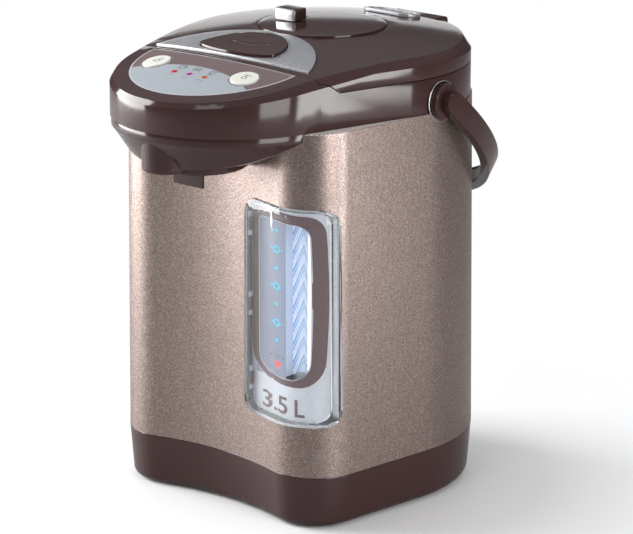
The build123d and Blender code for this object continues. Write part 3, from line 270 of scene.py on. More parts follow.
def make_flake():
    """Metallic lacquer: flakes that differ in tone, tilt and gloss."""
    group, start, end = new_group(
        "flake_lacquer",
        [("Colour", "colour", (0.3, 0.25, 0.22)), ("Flake Colour", "colour", (0.7, 0.6, 0.55)),
         ("Flake Scale", "value", 1500.0), ("Amount", "value", 0.5),
         ("Roughness", "value", 0.4)],
        [("Colour", "colour"), ("Roughness", "value"), ("Normal", "vector")])
    place, _, _, _ = object_xyz(group)
    cells = group.nodes.new("ShaderNodeTexVoronoi")
    group.links.new(place, cells.inputs["Vector"])
    group.links.new(start.outputs["Flake Scale"], cells.inputs["Scale"])
    split = group.nodes.new("ShaderNodeSeparateColor")
    group.links.new(cells.outputs["Color"], split.inputs[0])
    bright = math_node(group, "POWER", split.outputs[0], 2.2)
    bright = math_node(group, "MULTIPLY", bright, start.outputs["Amount"])
    dark = math_node(group, "MULTIPLY", math_node(group, "POWER", split.outputs[1], 3.0),
                     start.outputs["Amount"])
    drift = noise(group, 90.0, 3.0, 0.6, place)
    tone = mix_colour(group, bright, start.outputs["Colour"], start.outputs["Flake Colour"])
    tone = mix_colour(group, math_node(group, "MULTIPLY", dark, 0.7), tone, (0.06, 0.045, 0.04))
    shade = math_node(group, "ADD", math_node(group, "MULTIPLY", drift, 0.10), 0.95)
    group.links.new(shaded(group, tone, shade), end.inputs["Colour"])
    rough = math_node(group, "MULTIPLY", math_node(group, "SUBTRACT", split.outputs[2], 0.5), 0.2)
    group.links.new(math_node(group, "ADD", start.outputs["Roughness"], rough),
                    end.inputs["Roughness"])
    group.links.new(bump(group, split.outputs[0], GRAIN_HIGH, 0.25), end.inputs["Normal"])
    return group


def make_brushed():
    """Drawn metal: long fine scratches along one direction."""
    group, start, end = new_group(
        "drawn_metal",
        [("Colour", "colour", (0.6, 0.6, 0.6)), ("Roughness", "value", 0.3),
         ("Stretch", "vector", (40.0, 40.0, 2200.0)), ("Depth", "value", 0.1)],
        [("Colour", "colour"), ("Roughness", "value"), ("Normal", "vector")])
    place, _, _, _ = object_xyz(group)
    longer = group.nodes.new("ShaderNodeVectorMath")
    longer.operation = "MULTIPLY"
    group.links.new(place, longer.inputs[0])
    group.links.new(start.outputs["Stretch"], longer.inputs[1])
    lines = noise(group, 1.0, 4.0, 0.65, longer.outputs[0])
    stain = noise(group, 30.0, 4.0, 0.6, place)
    shade = math_node(group, "ADD", math_node(group, "MULTIPLY", lines, 0.24), 0.86)
    shade = math_node(group, "MULTIPLY", shade,
                      math_node(group, "ADD", math_node(group, "MULTIPLY", stain, 0.1), 0.95))
    group.links.new(shaded(group, start.outputs["Colour"], shade), end.inputs["Colour"])
    rough = math_node(group, "MULTIPLY", math_node(group, "SUBTRACT", lines, 0.5), 0.3)
    group.links.new(math_node(group, "ADD", start.outputs["Roughness"], rough),
                    end.inputs["Roughness"])
    relief = bump(group, lines, GRAIN_HIGH, start.outputs["Depth"])
    group.links.new(relief, end.inputs["Normal"])
    return group


MOULDED = make_moulding()
FLAKE = make_flake()
DRAWN = make_brushed()


def wire(tree, shader, effect):
    for output, socket in (("Colour", "Base Color"), ("Roughness", "Roughness"),
                           ("Normal", "Normal")):
        tree.links.new(effect.outputs[output], shader.inputs[socket])


def plastic(name, colour, roughness, grain, scale, marks):
    material, tree, shader = new_material(name)
    effect = place_group(tree, MOULDED, Colour=colour, Roughness=roughness, Grain_Scale=scale,
                         Grain_Depth=grain, Marks=marks)
    wire(tree, shader, effect)
    return material


def lacquer(name, colour, flakes, scale, amount, roughness, metallic, coat=0.0):
    material, tree, shader = new_material(name)
    effect = place_group(tree, FLAKE, Colour=colour, Flake_Colour=flakes, Flake_Scale=scale,
                         Amount=amount, Roughness=roughness)
    wire(tree, shader, effect)
    shader.inputs["Metallic"].default_value = metallic
    shader.inputs["Coat Weight"].default_value = coat
    shader.inputs["Coat Roughness"].default_value = 0.08
    return material


def metal(name, colour, roughness, stretch=(40.0, 40.0, 2200.0), depth=0.1):
    material, tree, shader = new_material(name)
    effect = place_group(tree, DRAWN, Colour=colour, Roughness=roughness, Depth=depth)
    effect.inputs["Stretch"].default_value = stretch
    wire(tree, shader, effect)
    shader.inputs["Metallic"].default_value = 1.0
    return material


BROWN = (0.046, 0.019, 0.019)
finishes = {
    "brown_gloss": plastic("brown_gloss", BROWN, 0.11, 0.004, 1800.0, 0.15),
    "brown_satin": plastic("brown_satin", BROWN, 0.28, 0.02, 2600.0, 0.25),
    "brown_ring": plastic("brown_ring", (0.075, 0.038, 0.042), 0.35, 0.01, 2200.0, 0.2),
    "taupe_lacquer": lacquer("taupe_lacquer", (0.265, 0.196, 0.174), (0.78, 0.67, 0.61), 2300.0,
                             0.6, 0.36, 0.92, 0.05),
    "silver_satin": lacquer("silver_satin", (0.43, 0.44, 0.46), (0.60, 0.61, 0.63), 4200.0, 0.3,
                            0.30, 0.55),
    "silver_plate": lacquer("silver_plate", (0.52, 0.54, 0.57), (0.66, 0.68, 0.72), 5200.0, 0.2,
                            0.34, 0.6),
    "dark_grain": plastic("dark_grain", (0.035, 0.03, 0.03), 0.5, 0.25, 1500.0, 0.5),
    "natural_plastic": plastic("natural_plastic", (0.62, 0.60, 0.55), 0.42, 0.06, 1200.0, 0.3),
    "cream_button": plastic("cream_button", (0.83, 0.83, 0.76), 0.32, 0.02, 2400.0, 0.2),
    "grey_satin": plastic("grey_satin", (0.30, 0.28, 0.28), 0.42, 0.08, 1700.0, 0.3),
    "rubber_black": plastic("rubber_black", (0.025, 0.025, 0.026), 0.75, 0.3, 900.0, 0.6),
    "silicone_white": plastic("silicone_white", (0.70, 0.70, 0.67), 0.5, 0.05, 700.0, 0.3),
    "board_green": plastic("board_green", (0.02, 0.12, 0.05), 0.35, 0.15, 600.0, 0.3),
    "steel_drawn": metal("steel_drawn", (0.62, 0.62, 0.61), 0.25),
    "heater_alloy": metal("heater_alloy", (0.66, 0.66, 0.67), 0.45, (300.0, 300.0, 300.0), 0.3),
    "pin_brass": metal("pin_brass", (0.70, 0.52, 0.20), 0.25, (60.0, 2000.0, 60.0), 0.05),
}

# seven more nodes have a finish of their own, further down
NODE_FINISH = {
    "brown_gloss": ["base_skirt", "head_housing", "nose_under", "spout_nozzle", "hinge_block",
                    "lid_cover", "latch_paddle", "press_plate", "carry_handle", "handle_bosses"],
    "brown_satin": ["latch_well"],
    "brown_ring": ["gauge_ring"],
    "taupe_lacquer": ["outer_shell"],
    "silver_satin": ["lid_trim", "vent_trim"],
    "dark_grain": ["bottom_plate", "power_inlet", "thermostat", "power_parts"],
    "natural_plastic": ["pot_cradle", "mouth_ring", "pump_housing", "pump_impeller", "lid_liner"],
    "cream_button": ["unlock_button", "dispense_button"],
    "grey_satin": ["handle_liner", "vent_insert"],
    "rubber_black": ["rubber_feet", "bellows"],
    "silicone_white": ["lid_gasket", "inlet_hose", "riser_hose", "spout_pipe"],
    "board_green": ["control_board", "power_board"],
    "steel_drawn": ["inner_pot", "inner_lid_plate", "motor_case", "motor_rotor", "hinge_pin",
                    "latch_pin", "base_screws"],
    "heater_alloy": ["heater_plate"],
    "pin_brass": ["inlet_pins"],
}
# width of the rounding on each solid's sharp edges, in mm
SOFT_EDGES = {"base_skirt": 0.7, "head_housing": 0.5, "lid_cover": 0.5, "lid_trim": 0.45,
              "latch_paddle": 0.5, "press_plate": 0.4, "lock_knob": 0.35, "vent_trim": 0.5,
              "carry_handle": 0.9, "handle_bosses": 0.4, "hinge_block": 0.5, "gauge_cover": 0.9,
              "spout_nozzle": 0.3, "nose_under": 0.5, "gauge_ring": 0.15}
ROUND_FROM = radians(28)                 # edges sharper than this are rounded
CREASE_FROM = radians(32)                # what is still sharper than this shades as an edge
WELD_GAP = 0.01 * MM


def dress_node(node, finish):
    """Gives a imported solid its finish, closes its mesh and rounds its edges by modifiers."""
    piece = nodes[node]
    paint(piece, finish)
    smooth(piece, 180)
    weld = piece.modifiers.new("Weld", "WELD")
    weld.merge_threshold = WELD_GAP
    if node in SOFT_EDGES:
        bevel = piece.modifiers.new("Bevel", "BEVEL")
        bevel.width = SOFT_EDGES[node] * MM
        bevel.segments = 3
        bevel.limit_method = "ANGLE"
        bevel.angle_limit = ROUND_FROM
    split = piece.modifiers.new("Split", "EDGE_SPLIT")
    split.split_angle = CREASE_FROM


for finish, names in NODE_FINISH.items():
    for node in names:
        dress_node(node, finishes[finish])

# ------------------------------------------------------------------ printed plate of the gauge
RING_TURN = radians(42.0)
CORNER = (63.07 * MM, AXIS_Y - 76.53 * MM)   # middle of the body's front corner rounding
PRINT_OUT = 60 * MM                      # prints start this far out and are laid back on the plate
PRINT_LIFT = 0.08 * MM                   # and lie this far off it


def stand_on_corner(piece, across, z):
    """Stands a flat piece drawn in its own XY plane upright before the corner, facing out."""
    side = Vector((cos(RING_TURN), sin(RING_TURN), 0))
    outward = Vector((sin(RING_TURN), -cos(RING_TURN), 0))
    place = Vector((CORNER[0], CORNER[1], z)) + side * across + outward * PRINT_OUT
    piece.matrix_world = Matrix.Translation(place) @ Matrix(
        (side, Vector((0, 0, 1)), outward)).transposed().to_4x4()
    bpy.context.view_layer.update()


def divide(piece, rounds):
    """Cuts every edge in three, a number of times."""
    take(piece)
    bpy.ops.object.mode_set(mode="EDIT")
    bpy.ops.mesh.select_all(action="SELECT")
    for _ in range(rounds):
        bpy.ops.mesh.subdivide(number_cuts=2)
    bpy.ops.object.mode_set(mode="OBJECT")


def drop_missed(piece):
    """Takes off the corners of a print that found no ground under them and stayed in place."""
    take(piece)
    bpy.ops.object.mode_set(mode="EDIT")
    bpy.ops.mesh.select_mode(type="VERT")
    bpy.ops.mesh.select_all(action="DESELECT")
    bpy.ops.object.mode_set(mode="OBJECT")
    for corner in piece.data.vertices:
        corner.select = corner.co.z > -1.0 * MM
    bpy.ops.object.mode_set(mode="EDIT")
    bpy.ops.mesh.delete(type="VERT")
    bpy.ops.object.mode_set(mode="OBJECT")


def print_on(piece, name, ground, material, lift=PRINT_LIFT, body="pot"):
    """Lays a flat, finely divided piece on a solid's surface, along the piece's own Z."""
    take(piece)
    wrap = piece.modifiers.new("Wrap", "SHRINKWRAP")
    wrap.target = nodes[ground]
    wrap.wrap_method = "PROJECT"
    wrap.use_project_x = wrap.use_project_y = False
    wrap.use_project_z = True
    wrap.use_negative_direction = True
    wrap.use_positive_direction = False
    wrap.offset = lift
    bpy.ops.object.modifier_apply(modifier=wrap.name)
    drop_missed(piece)
    settle(piece, name)
    paint(piece, material)
    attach(piece, body)


def flat_disc(radius):
    deselect()
    bpy.ops.mesh.primitive_circle_add(vertices=28, radius=radius, fill_type="TRIFAN")
    return bpy.context.object


def flat_ring(radius, inner):
    """A disc inset in edit mode, with its middle taken out."""
    deselect()
    bpy.ops.mesh.primitive_circle_add(vertices=32, radius=radius, fill_type="NGON")
    piece = bpy.context.object
    bpy.ops.object.mode_set(mode="EDIT")
    bpy.ops.mesh.select_all(action="SELECT")
    bpy.ops.mesh.inset(thickness=radius - inner, depth=0)
    bpy.ops.mesh.delete(type="FACE")
    bpy.ops.object.mode_set(mode="OBJECT")
    return piece


def flat_bar(wide, high):
    deselect()
    bpy.ops.mesh.primitive_plane_add(size=1.0)
    piece = bpy.context.object
    piece.scale = (wide, high, 1)
    bpy.ops.object.transform_apply(scale=True)
    return piece


def join(pieces):
    """Joins flat pieces that were shaped one by one into the first."""
    deselect()
    for piece in pieces:
        piece.select_set(True)
    bpy.context.view_layer.objects.active = pieces[0]
    bpy.ops.object.join()
    return bpy.context.object


def shifted(piece, x, y, turn=0.0):
    piece.location = (x, y, 0)
    piece.rotation_euler = (0, 0, turn)
    take(piece)
    bpy.ops.object.transform_apply(location=True, rotation=True, scale=True)
    return piece


MARK_ACROSS = -25.1 * MM                 # the scale's place across the corner
MARK_DOTS = (195.2, 170.6, 146.5, 122.6)     # heights in mm
MARK_RINGS = (182.9, 158.5, 134.2)
DOT_R = 1.15 * MM
MARK_R, MARK_HOLE = 2.3 * MM, 1.35 * MM
TICK_T = 0.6 * MM
ARROW_R, ARROW_Z = 3.0 * MM, 106.6 * MM
SIGN_Z = 112.0 * MM
VOLUME_LEFT, VOLUME_LOW = -33.8 * MM, 75.0 * MM
VOLUME_WIDE, VOLUME_HIGH = 26.6 * MM, 11.9 * MM


def add_gauge_marks():
    """Dots and ringed dots of the scale, the red arrow and the wavy line over it."""
    cyan = plastic("print_cyan", (0.02, 0.42, 0.62), 0.35, 0.01, 1500.0, 0.1)
    red = plastic("print_red", (0.80, 0.03, 0.03), 0.35, 0.01, 1500.0, 0.1)
    dark = plastic("print_dark", (0.03, 0.028, 0.035), 0.4, 0.01, 1500.0, 0.1)
    for number, z in enumerate(MARK_DOTS):
        piece = flat_disc(DOT_R)
        stand_on_corner(piece, MARK_ACROSS, z * MM)
        print_on(piece, f"gauge_dot_{number + 1}", "gauge_plate", cyan)
    for number, z in enumerate(MARK_RINGS):
        parts = [flat_ring(MARK_R, MARK_HOLE)]
        parts += [shifted(flat_bar(1.5 * MM, TICK_T), side * 3.1 * MM, 0) for side in (-1, 1)]
        parts += [shifted(flat_bar(TICK_T, 1.0 * MM), 0, side * 2.6 * MM) for side in (-1, 1)]
        piece = join(parts)
        stand_on_corner(piece, MARK_ACROSS, z * MM)
        print_on(piece, f"gauge_mark_{number + 1}", "gauge_plate", cyan)
    deselect()
    bpy.ops.mesh.primitive_circle_add(vertices=3, radius=ARROW_R, fill_type="NGON")
    arrow = bpy.context.object
    arrow.scale = (0.95, 1.1, 1)
    arrow.rotation_euler = (0, 0, pi)
    bpy.ops.object.transform_apply(rotation=True, scale=True)
    divide(arrow, 1)
    stand_on_corner(arrow, MARK_ACROSS + 0.8 * MM, ARROW_Z)
    print_on(arrow, "gauge_arrow", "gauge_plate", red)
    sign = join([shifted(flat_bar(1.4 * MM, 0.7 * MM), step * 2.0 * MM,
                         (0.5 if step % 2 else -0.3) * MM, radians(-14))
                 for step in range(-2, 3)])
    stand_on_corner(sign, MARK_ACROSS + 0.2 * MM, SIGN_Z)
    print_on(sign, "gauge_sign", "gauge_plate", dark)


def add_gauge_volume():
    """The volume in litres under the ring."""
    mauve = plastic("print_mauve", (0.105, 0.062, 0.066), 0.4, 0.01, 1500.0, 0.1)
    deselect()
    bpy.ops.object.text_add()
    words = bpy.context.object
    words.data.body = "3.5 L"
    words.data.size = 17.0 * MM
    words.data.space_character = 0.92
    words.data.offset = 0.25 * MM
    words.data.resolution_u = 5
    bpy.ops.object.convert(target="MESH")
    words = bpy.context.object
    words.scale = (VOLUME_WIDE / words.dimensions.x, VOLUME_HIGH / words.dimensions.y, 1)
    bpy.ops.object.transform_apply(scale=True)
    divide(words, 2)
    low = min(v.co.x for v in words.data.vertices)
    stand_on_corner(words, VOLUME_LEFT - low, VOLUME_LOW)
    print_on(words, "gauge_volume", "gauge_plate", mauve, 0.1 * MM)


def on_corner(tree):
    """Coordinates across the corner, into it and up, of a point on the piece."""
    place = tree.nodes.new("ShaderNodeTexCoord")
    turn = tree.nodes.new("ShaderNodeMapping")
    turn.vector_type = "TEXTURE"
    turn.inputs["Location"].default_value = (CORNER[0], CORNER[1], 0)
    turn.inputs["Rotation"].default_value = (0, 0, RING_TURN)
    tree.links.new(place.outputs["Object"], turn.inputs["Vector"])
    split = tree.nodes.new("ShaderNodeSeparateXYZ")
    tree.links.new(turn.outputs[0], split.inputs[0])
    return split.outputs


OPEN = 1.0                               # a limit that no point of the pot reaches


def between(tree, value, low, high, soft=0.1 * MM):
    """1 where a value lies between two limits, with a soft edge."""
    rise = math_node(tree, "MULTIPLY_ADD", value, 1 / soft, -low / soft + 0.5)
    fall = math_node(tree, "MULTIPLY_ADD", value, -1 / soft, high / soft + 0.5)
    lowest = math_node(tree, "MINIMUM", rise, fall)
    return math_node(tree, "MINIMUM", math_node(tree, "MAXIMUM", lowest, 0.0), 1.0)


STRIPE_LEFT, STRIPE_RIGHT = -14.6 * MM, -5.4 * MM   # the printed strip across the corner
STRIPE_FOLD = -7.6 * MM                  # the chevrons turn here
STRIPE_SLOPES = (2.3, -4.2)              # rise of their strokes left and right of the fold
STRIPE_PITCH = 12.2 * MM
BLUE, PALE, WHITE = (0.07, 0.26, 0.66), (0.42, 0.62, 0.88), (0.86, 0.90, 0.95)
STRIPE_STOPS = ((0.0, BLUE), (0.17, BLUE), (0.22, WHITE), (0.38, WHITE), (0.42, PALE),
                (0.50, PALE), (0.54, WHITE), (0.66, WHITE), (0.70, BLUE), (0.80, BLUE),
                (0.84, PALE), (0.97, PALE), (1.0, BLUE))


def stripe_finish():
    """White card printed with blue chevrons, their long strokes on the left; it glows faintly in
    its own colours, painted light.
    """
    material, tree, shader = new_material("stripe_print_blue")
    across, _, height = on_corner(tree)
    bands = []
    for slope in STRIPE_SLOPES:
        lean = math_node(tree, "MULTIPLY_ADD", across, -slope, slope * STRIPE_FOLD)
        turn = math_node(tree, "DIVIDE", math_node(tree, "ADD", height, lean), STRIPE_PITCH)
        bands.append(colour_ramp(tree, math_node(tree, "FRACT", turn), STRIPE_STOPS))
    printed = mix_colour(tree, between(tree, across, STRIPE_FOLD, OPEN), *bands)
    field = between(tree, across, STRIPE_LEFT, STRIPE_RIGHT)
    ground = mix_colour(tree, between(tree, across, STRIPE_RIGHT, OPEN), (0.42, 0.48, 0.60),
                        (0.88, 0.91, 0.94))
    tone = mix_colour(tree, field, ground, printed)
    tree.links.new(tone, shader.inputs["Base Color"])
    # painted light: the card glows in its print colours, standing in for the light that reaches it
    # inside the window
    tree.links.new(tone, shader.inputs["Emission Color"])
    shader.inputs["Emission Strength"].default_value = 0.35
    shader.inputs["Roughness"].default_value = 0.4
    return material


SCALE_LEFT, SCALE_RIGHT = -37.6 * MM, -5.0 * MM
SCALE_LOW, SCALE_HIGH = 97.0 * MM, 203.0 * MM


def plate_finish():
    """Silver plate with the blue-grey scale field inside the ring, darker to the left in painted
    shade.
    """
    material, tree, shader = new_material("silver_plate_printed")
    effect = place_group(tree, FLAKE, Colour=(0.50, 0.53, 0.56), Flake_Colour=(0.66, 0.69, 0.73),
                         Flake_Scale=5200.0, Amount=0.2, Roughness=0.36)
    wire(tree, shader, effect)
    across, _, height = on_corner(tree)
    field = math_node(tree, "MULTIPLY", between(tree, across, SCALE_LEFT, SCALE_RIGHT),
                      between(tree, height, SCALE_LOW, SCALE_HIGH))
    # painted shade: the scale field darkens towards its left side
    shade = math_node(tree, "MULTIPLY_ADD", across, 9.0, 0.42)
    tone = mix_colour(tree, shade, (0.17, 0.195, 0.26), (0.30, 0.34, 0.42))
    tree.links.new(mix_colour(tree, field, effect.outputs["Colour"], tone),
                   shader.inputs["Base Color"])
    shader.inputs["Metallic"].default_value = 0.35
    return material


def cover_finish():
    """Clear cover that bends the view, and lets light fall through on what lies behind."""
    material, tree, shader = new_material("clear_cover")
    effect = place_group(tree, MOULDED, Grain_Scale=900.0, Grain_Depth=0.01)
    tree.links.new(effect.outputs["Normal"], shader.inputs["Normal"])
    shader.inputs["Base Color"].default_value = (0.97, 0.98, 1.0, 1)
    shader.inputs["Roughness"].default_value = 0.02
    shader.inputs["IOR"].default_value = 1.45
    shader.inputs["Transmission Weight"].default_value = 1.0
    rays = tree.nodes.new("ShaderNodeLightPath")
    tree.links.new(math_node(tree, "MULTIPLY_ADD", rays.outputs["Is Shadow Ray"], -0.85, 1.0),
                   shader.inputs["Alpha"])
    return material


def block(name, low, high, material, rounding=0.3 * MM, body="pot"):
    """A small block between two corners, its edges rounded."""
    deselect()
    bpy.ops.mesh.primitive_cube_add(size=1.0, location=[(a + b) / 2 for a, b in zip(low, high)])
    piece = bpy.context.object
    piece.scale = [b - a for a, b in zip(low, high)]
    settle(piece, name)
    finish_with(piece, "BEVEL", width=rounding, segments=2)
    smooth(piece)
    paint(piece, material)
    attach(piece, body)


# left and right, low and high, radii upper left, lower left, upper right, lower right, and bow
RING_OUTER = ((-40.3, 6.8), (94.4, 208.3), (5.0, 18.0, 12.0, 20.0), 1.6)
RING_INNER = ((-35.5, -4.1), (98.9, 201.6), (3.0, 12.0, 8.5, 14.0), 1.2)
RING_GAP = 0.03                          # the ring's hole is cut this much wider
RING_HIGHLIGHT = 0.45                         # reach of the painted highlight lines beyond each edge
CORNER_STEPS, BOW_STEPS = 7, 12


def ring_line(shape, grow=0.0):
    """Points of one edge of the printed ring: rounded corners and a right side that bows."""
    (left, right), (low, high), radii, bow = shape
    left, right, low, high = left - grow, right + grow, low - grow, high + grow
    upper_left, lower_left, upper_right, lower_right = (max(r + grow, 0.5) for r in radii)
    corners = ((left, low, lower_left, 1, 1, 180), (right, low, lower_right, -1, 1, 270),
               (right, high, upper_right, -1, -1, 0), (left, high, upper_left, 1, -1, 90))
    points = []
    for x, y, radius, inward, upward, start in corners:
        if (x, y) == (right, high):
            run = (low + lower_right, high - upper_right)
            for step in range(1, BOW_STEPS):
                share = step / BOW_STEPS
                points.append((right + bow * sin(pi * share), run[0] + share * (run[1] - run[0])))
        for step in range(CORNER_STEPS + 1):
            turn = radians(start + 90 * step / CORNER_STEPS)
            points.append((x + inward * radius + radius * cos(turn),
                           y + upward * radius + radius * sin(turn)))
    return [(x * MM, y * MM, 0) for x, y in points]


def flat_shape(outlines):
    """A filled flat piece from closed outlines, the second and later ones being holes."""
    curve = bpy.data.curves.new("outline", "CURVE")
    curve.dimensions = "2D"
    curve.fill_mode = "BOTH"
    for outline in outlines:
        spline = curve.splines.new("POLY")
        spline.points.add(len(outline) - 1)
        for point, place in zip(spline.points, outline):
            point.co = (*place, 1)
        spline.use_cyclic_u = True
    piece = bpy.data.objects.new("outline", curve)
    bpy.context.scene.collection.objects.link(piece)
    take(piece)
    bpy.ops.object.convert(target="MESH")
    return bpy.context.object


def add_gauge_ring():
    """Brown printed ring on the plate, with a thin light line of painted highlight along both of
    its edges.
    """
    # painted highlight: pale lines where the ring's edges catch the light
    light = plastic("ring_edge_painted_highlight", (0.50, 0.48, 0.52), 0.3, 0.01, 1500.0, 0.1)
    outer, inner = ring_line(RING_OUTER), ring_line(RING_INNER, RING_GAP)
    for name, lines, finish, lift in (
            ("gauge_ring_print", (outer, inner), finishes["brown_ring"], 0.35 * MM),
            ("gauge_ring_outer_highlight", (ring_line(RING_OUTER, RING_HIGHLIGHT), outer), light, 0.38 * MM),
            ("gauge_ring_inner_highlight", (ring_line(RING_INNER, RING_HIGHLIGHT), inner), light,
             0.42 * MM)):
        piece = flat_shape(lines)
        divide(piece, 2)
        stand_on_corner(piece, 0, 0)
        print_on(piece, name, "gauge_plate", finish, lift)
        if name == "gauge_ring_print":
            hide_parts("gauge_ring")


WALL_LOW, WALL_HIGH = 76.0 * MM, 208.0 * MM
TAB_HEIGHTS = (195.6, 142.0, 91.6)       # middles of the snap tabs, in mm


def add_gauge_walls():
    """Walls at both sides of the window; the near-black one on the left, painted shade of the
    recess, has three snap tabs.
    """
    # near black: painted shade in the window's recess
    dark = plastic("recess_painted_shade", (0.018, 0.016, 0.018), 0.25, 0.02, 1500.0, 0.2)
    grey = plastic("tab_grey", (0.36, 0.38, 0.42), 0.2, 0.02, 1500.0, 0.2)
    near, far = AXIS_Y - 99.7 * MM, AXIS_Y - 95.3 * MM
    block("gauge_side_wall", (25.0 * MM, near, WALL_LOW), (25.5 * MM, far, WALL_HIGH),
          dark, 0.1 * MM)
    block("gauge_side_wall_right", (88.7 * MM, AXIS_Y - 89.2 * MM, WALL_LOW),
          (93.4 * MM, AXIS_Y - 88.7 * MM, WALL_HIGH), finishes["silver_plate"],
          0.1 * MM)
    tab_parts = (("clip", 8.0, 1.1, grey, "clear_plastic"),
                 ("hook", 4.6, 1.7, finishes["brown_satin"], "brown_plastic"))
    for number, z in enumerate(TAB_HEIGHTS):
        for part, half, deep, shade, slot in tab_parts:
            block(f"gauge_{part}_{number + 1}", (25.4 * MM, near + 0.4 * MM, (z - half) * MM),
                  ((25.4 + deep) * MM, far - 0.5 * MM, (z + half) * MM), shade)


# ------------------------------------------------------------------ printed film of the panel
FIELD_R, FIELD_Y = 102.6 * MM, AXIS_Y - 217.2 * MM   # circle that holds the pale field
REAR_R, REAR_Y = 533.0 * MM, AXIS_Y + 433.5 * MM     # circle behind the panel's rear line
EDGE_LINE = 0.9 * MM                     # width of the silver line along the edge
BUTTON_RING = 10.7 * MM                  # radius of the grey rings
GLOW_R, GLOW_SOFT = 2.6 * MM, 1.2 * MM


def panel_finish():
    """Mauve film: pale field, silver edge line, grey button rings and the lenses' glow."""
    material, tree, shader = new_material("panel_print")
    effect = place_group(tree, MOULDED, Colour=(0.17, 0.115, 0.115), Roughness=0.3,
                         Grain_Scale=2600.0, Grain_Depth=0.02, Marks=0.2)
    wire(tree, shader, effect)
    _, x, y, _ = object_xyz(tree)

    def distance(centre_x, centre_y, stretch=1.0):
        dx = math_node(tree, "ADD", x, -centre_x)
        dy = math_node(tree, "MULTIPLY", math_node(tree, "ADD", y, -centre_y), stretch)
        return math_node(tree, "SQRT", math_node(
            tree, "ADD", math_node(tree, "MULTIPLY", dx, dx), math_node(tree, "MULTIPLY", dy, dy)))

    tone = effect.outputs["Colour"]
    field = between(tree, distance(0, FIELD_Y), -OPEN, FIELD_R)
    tone = mix_colour(tree, field, tone, (0.40, 0.44, 0.48))
    edge = between(tree, distance(0, PANEL_BACK, PANEL_HALF / PANEL_LONG),
                   PANEL_HALF - EDGE_LINE, OPEN)
    rear = between(tree, distance(0, REAR_Y), -OPEN, REAR_R)
    tone = mix_colour(tree, math_node(tree, "MAXIMUM", edge, rear), tone, (0.55, 0.55, 0.58))
    for centre_x in (-BUTTON_X, BUTTON_X):
        ring = between(tree, distance(centre_x, BUTTON_Y), -OPEN, BUTTON_RING)
        tone = mix_colour(tree, ring, tone, (0.24, 0.23, 0.25))
    for step, glow in ((-1, (0.60, 0.10, 0.12)), (0, (0.62, 0.22, 0.50)),
                       (1, (0.75, 0.34, 0.10))):
        spot = between(tree, distance(step * LED_PITCH, LED_Y), -OPEN, GLOW_R, GLOW_SOFT)
        tone = mix_colour(tree, math_node(tree, "MULTIPLY", spot, 0.6), tone, glow)
    tree.links.new(tone, shader.inputs["Base Color"])
    return material


def knob_finish():
    """Brown slider with a silver face towards the front."""
    material, tree, shader = new_material("knob_two_tone")
    effect = place_group(tree, MOULDED, Colour=BROWN, Roughness=0.16, Grain_Scale=2000.0,
                         Grain_Depth=0.01, Marks=0.2)
    wire(tree, shader, effect)
    _, _, y, _ = object_xyz(tree)
    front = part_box("lock_knob")[0][1] + 0.9 * MM
    face = between(tree, y, -OPEN, front)
    tree.links.new(mix_colour(tree, face, effect.outputs["Colour"], (0.62, 0.62, 0.64)),
                   shader.inputs["Base Color"])
    tree.links.new(math_node(tree, "MULTIPLY", face, 0.6), shader.inputs["Metallic"])
    return material


def thin_clear_finish():
    """Clear thin tube that hardly bends the light."""
    material, tree, shader = new_material("clear_tube_thin")
    place, _, _, _ = object_xyz(tree)
    haze = math_node(tree, "MULTIPLY_ADD", noise(tree, 120.0, 3.0, 0.6, place), 0.06, 0.04)
    tree.links.new(haze, shader.inputs["Roughness"])
    shader.inputs["Base Color"].default_value = (0.85, 0.93, 1.0, 1)
    shader.inputs["Alpha"].default_value = 0.14
    return material


def lens_finish():
    """Signal lenses in red, magenta and orange from left to right."""
    material, tree, shader = new_material("signal_lens")
    _, x, _, _ = object_xyz(tree)
    tone = mix_colour(tree, between(tree, x, -LED_PITCH / 2, OPEN), (0.55, 0.01, 0.03),
                      (0.30, 0.03, 0.22))
    tone = mix_colour(tree, between(tree, x, LED_PITCH / 2, OPEN), tone, (0.45, 0.09, 0.02))
    tree.links.new(tone, shader.inputs["Base Color"])
    shader.inputs["Roughness"].default_value = 0.12
    return material


SIGN_START = 360.0 * MM                  # signs start above the pot and are laid down on it


def lay_flat(piece, x, y, ground, name, material, body="pot"):
    """Prints a flat piece on the head's surface, straight from above."""
    piece.location = (x, y, SIGN_START)
    bpy.context.view_layer.update()
    print_on(piece, name, ground, material, PRINT_LIFT, body)


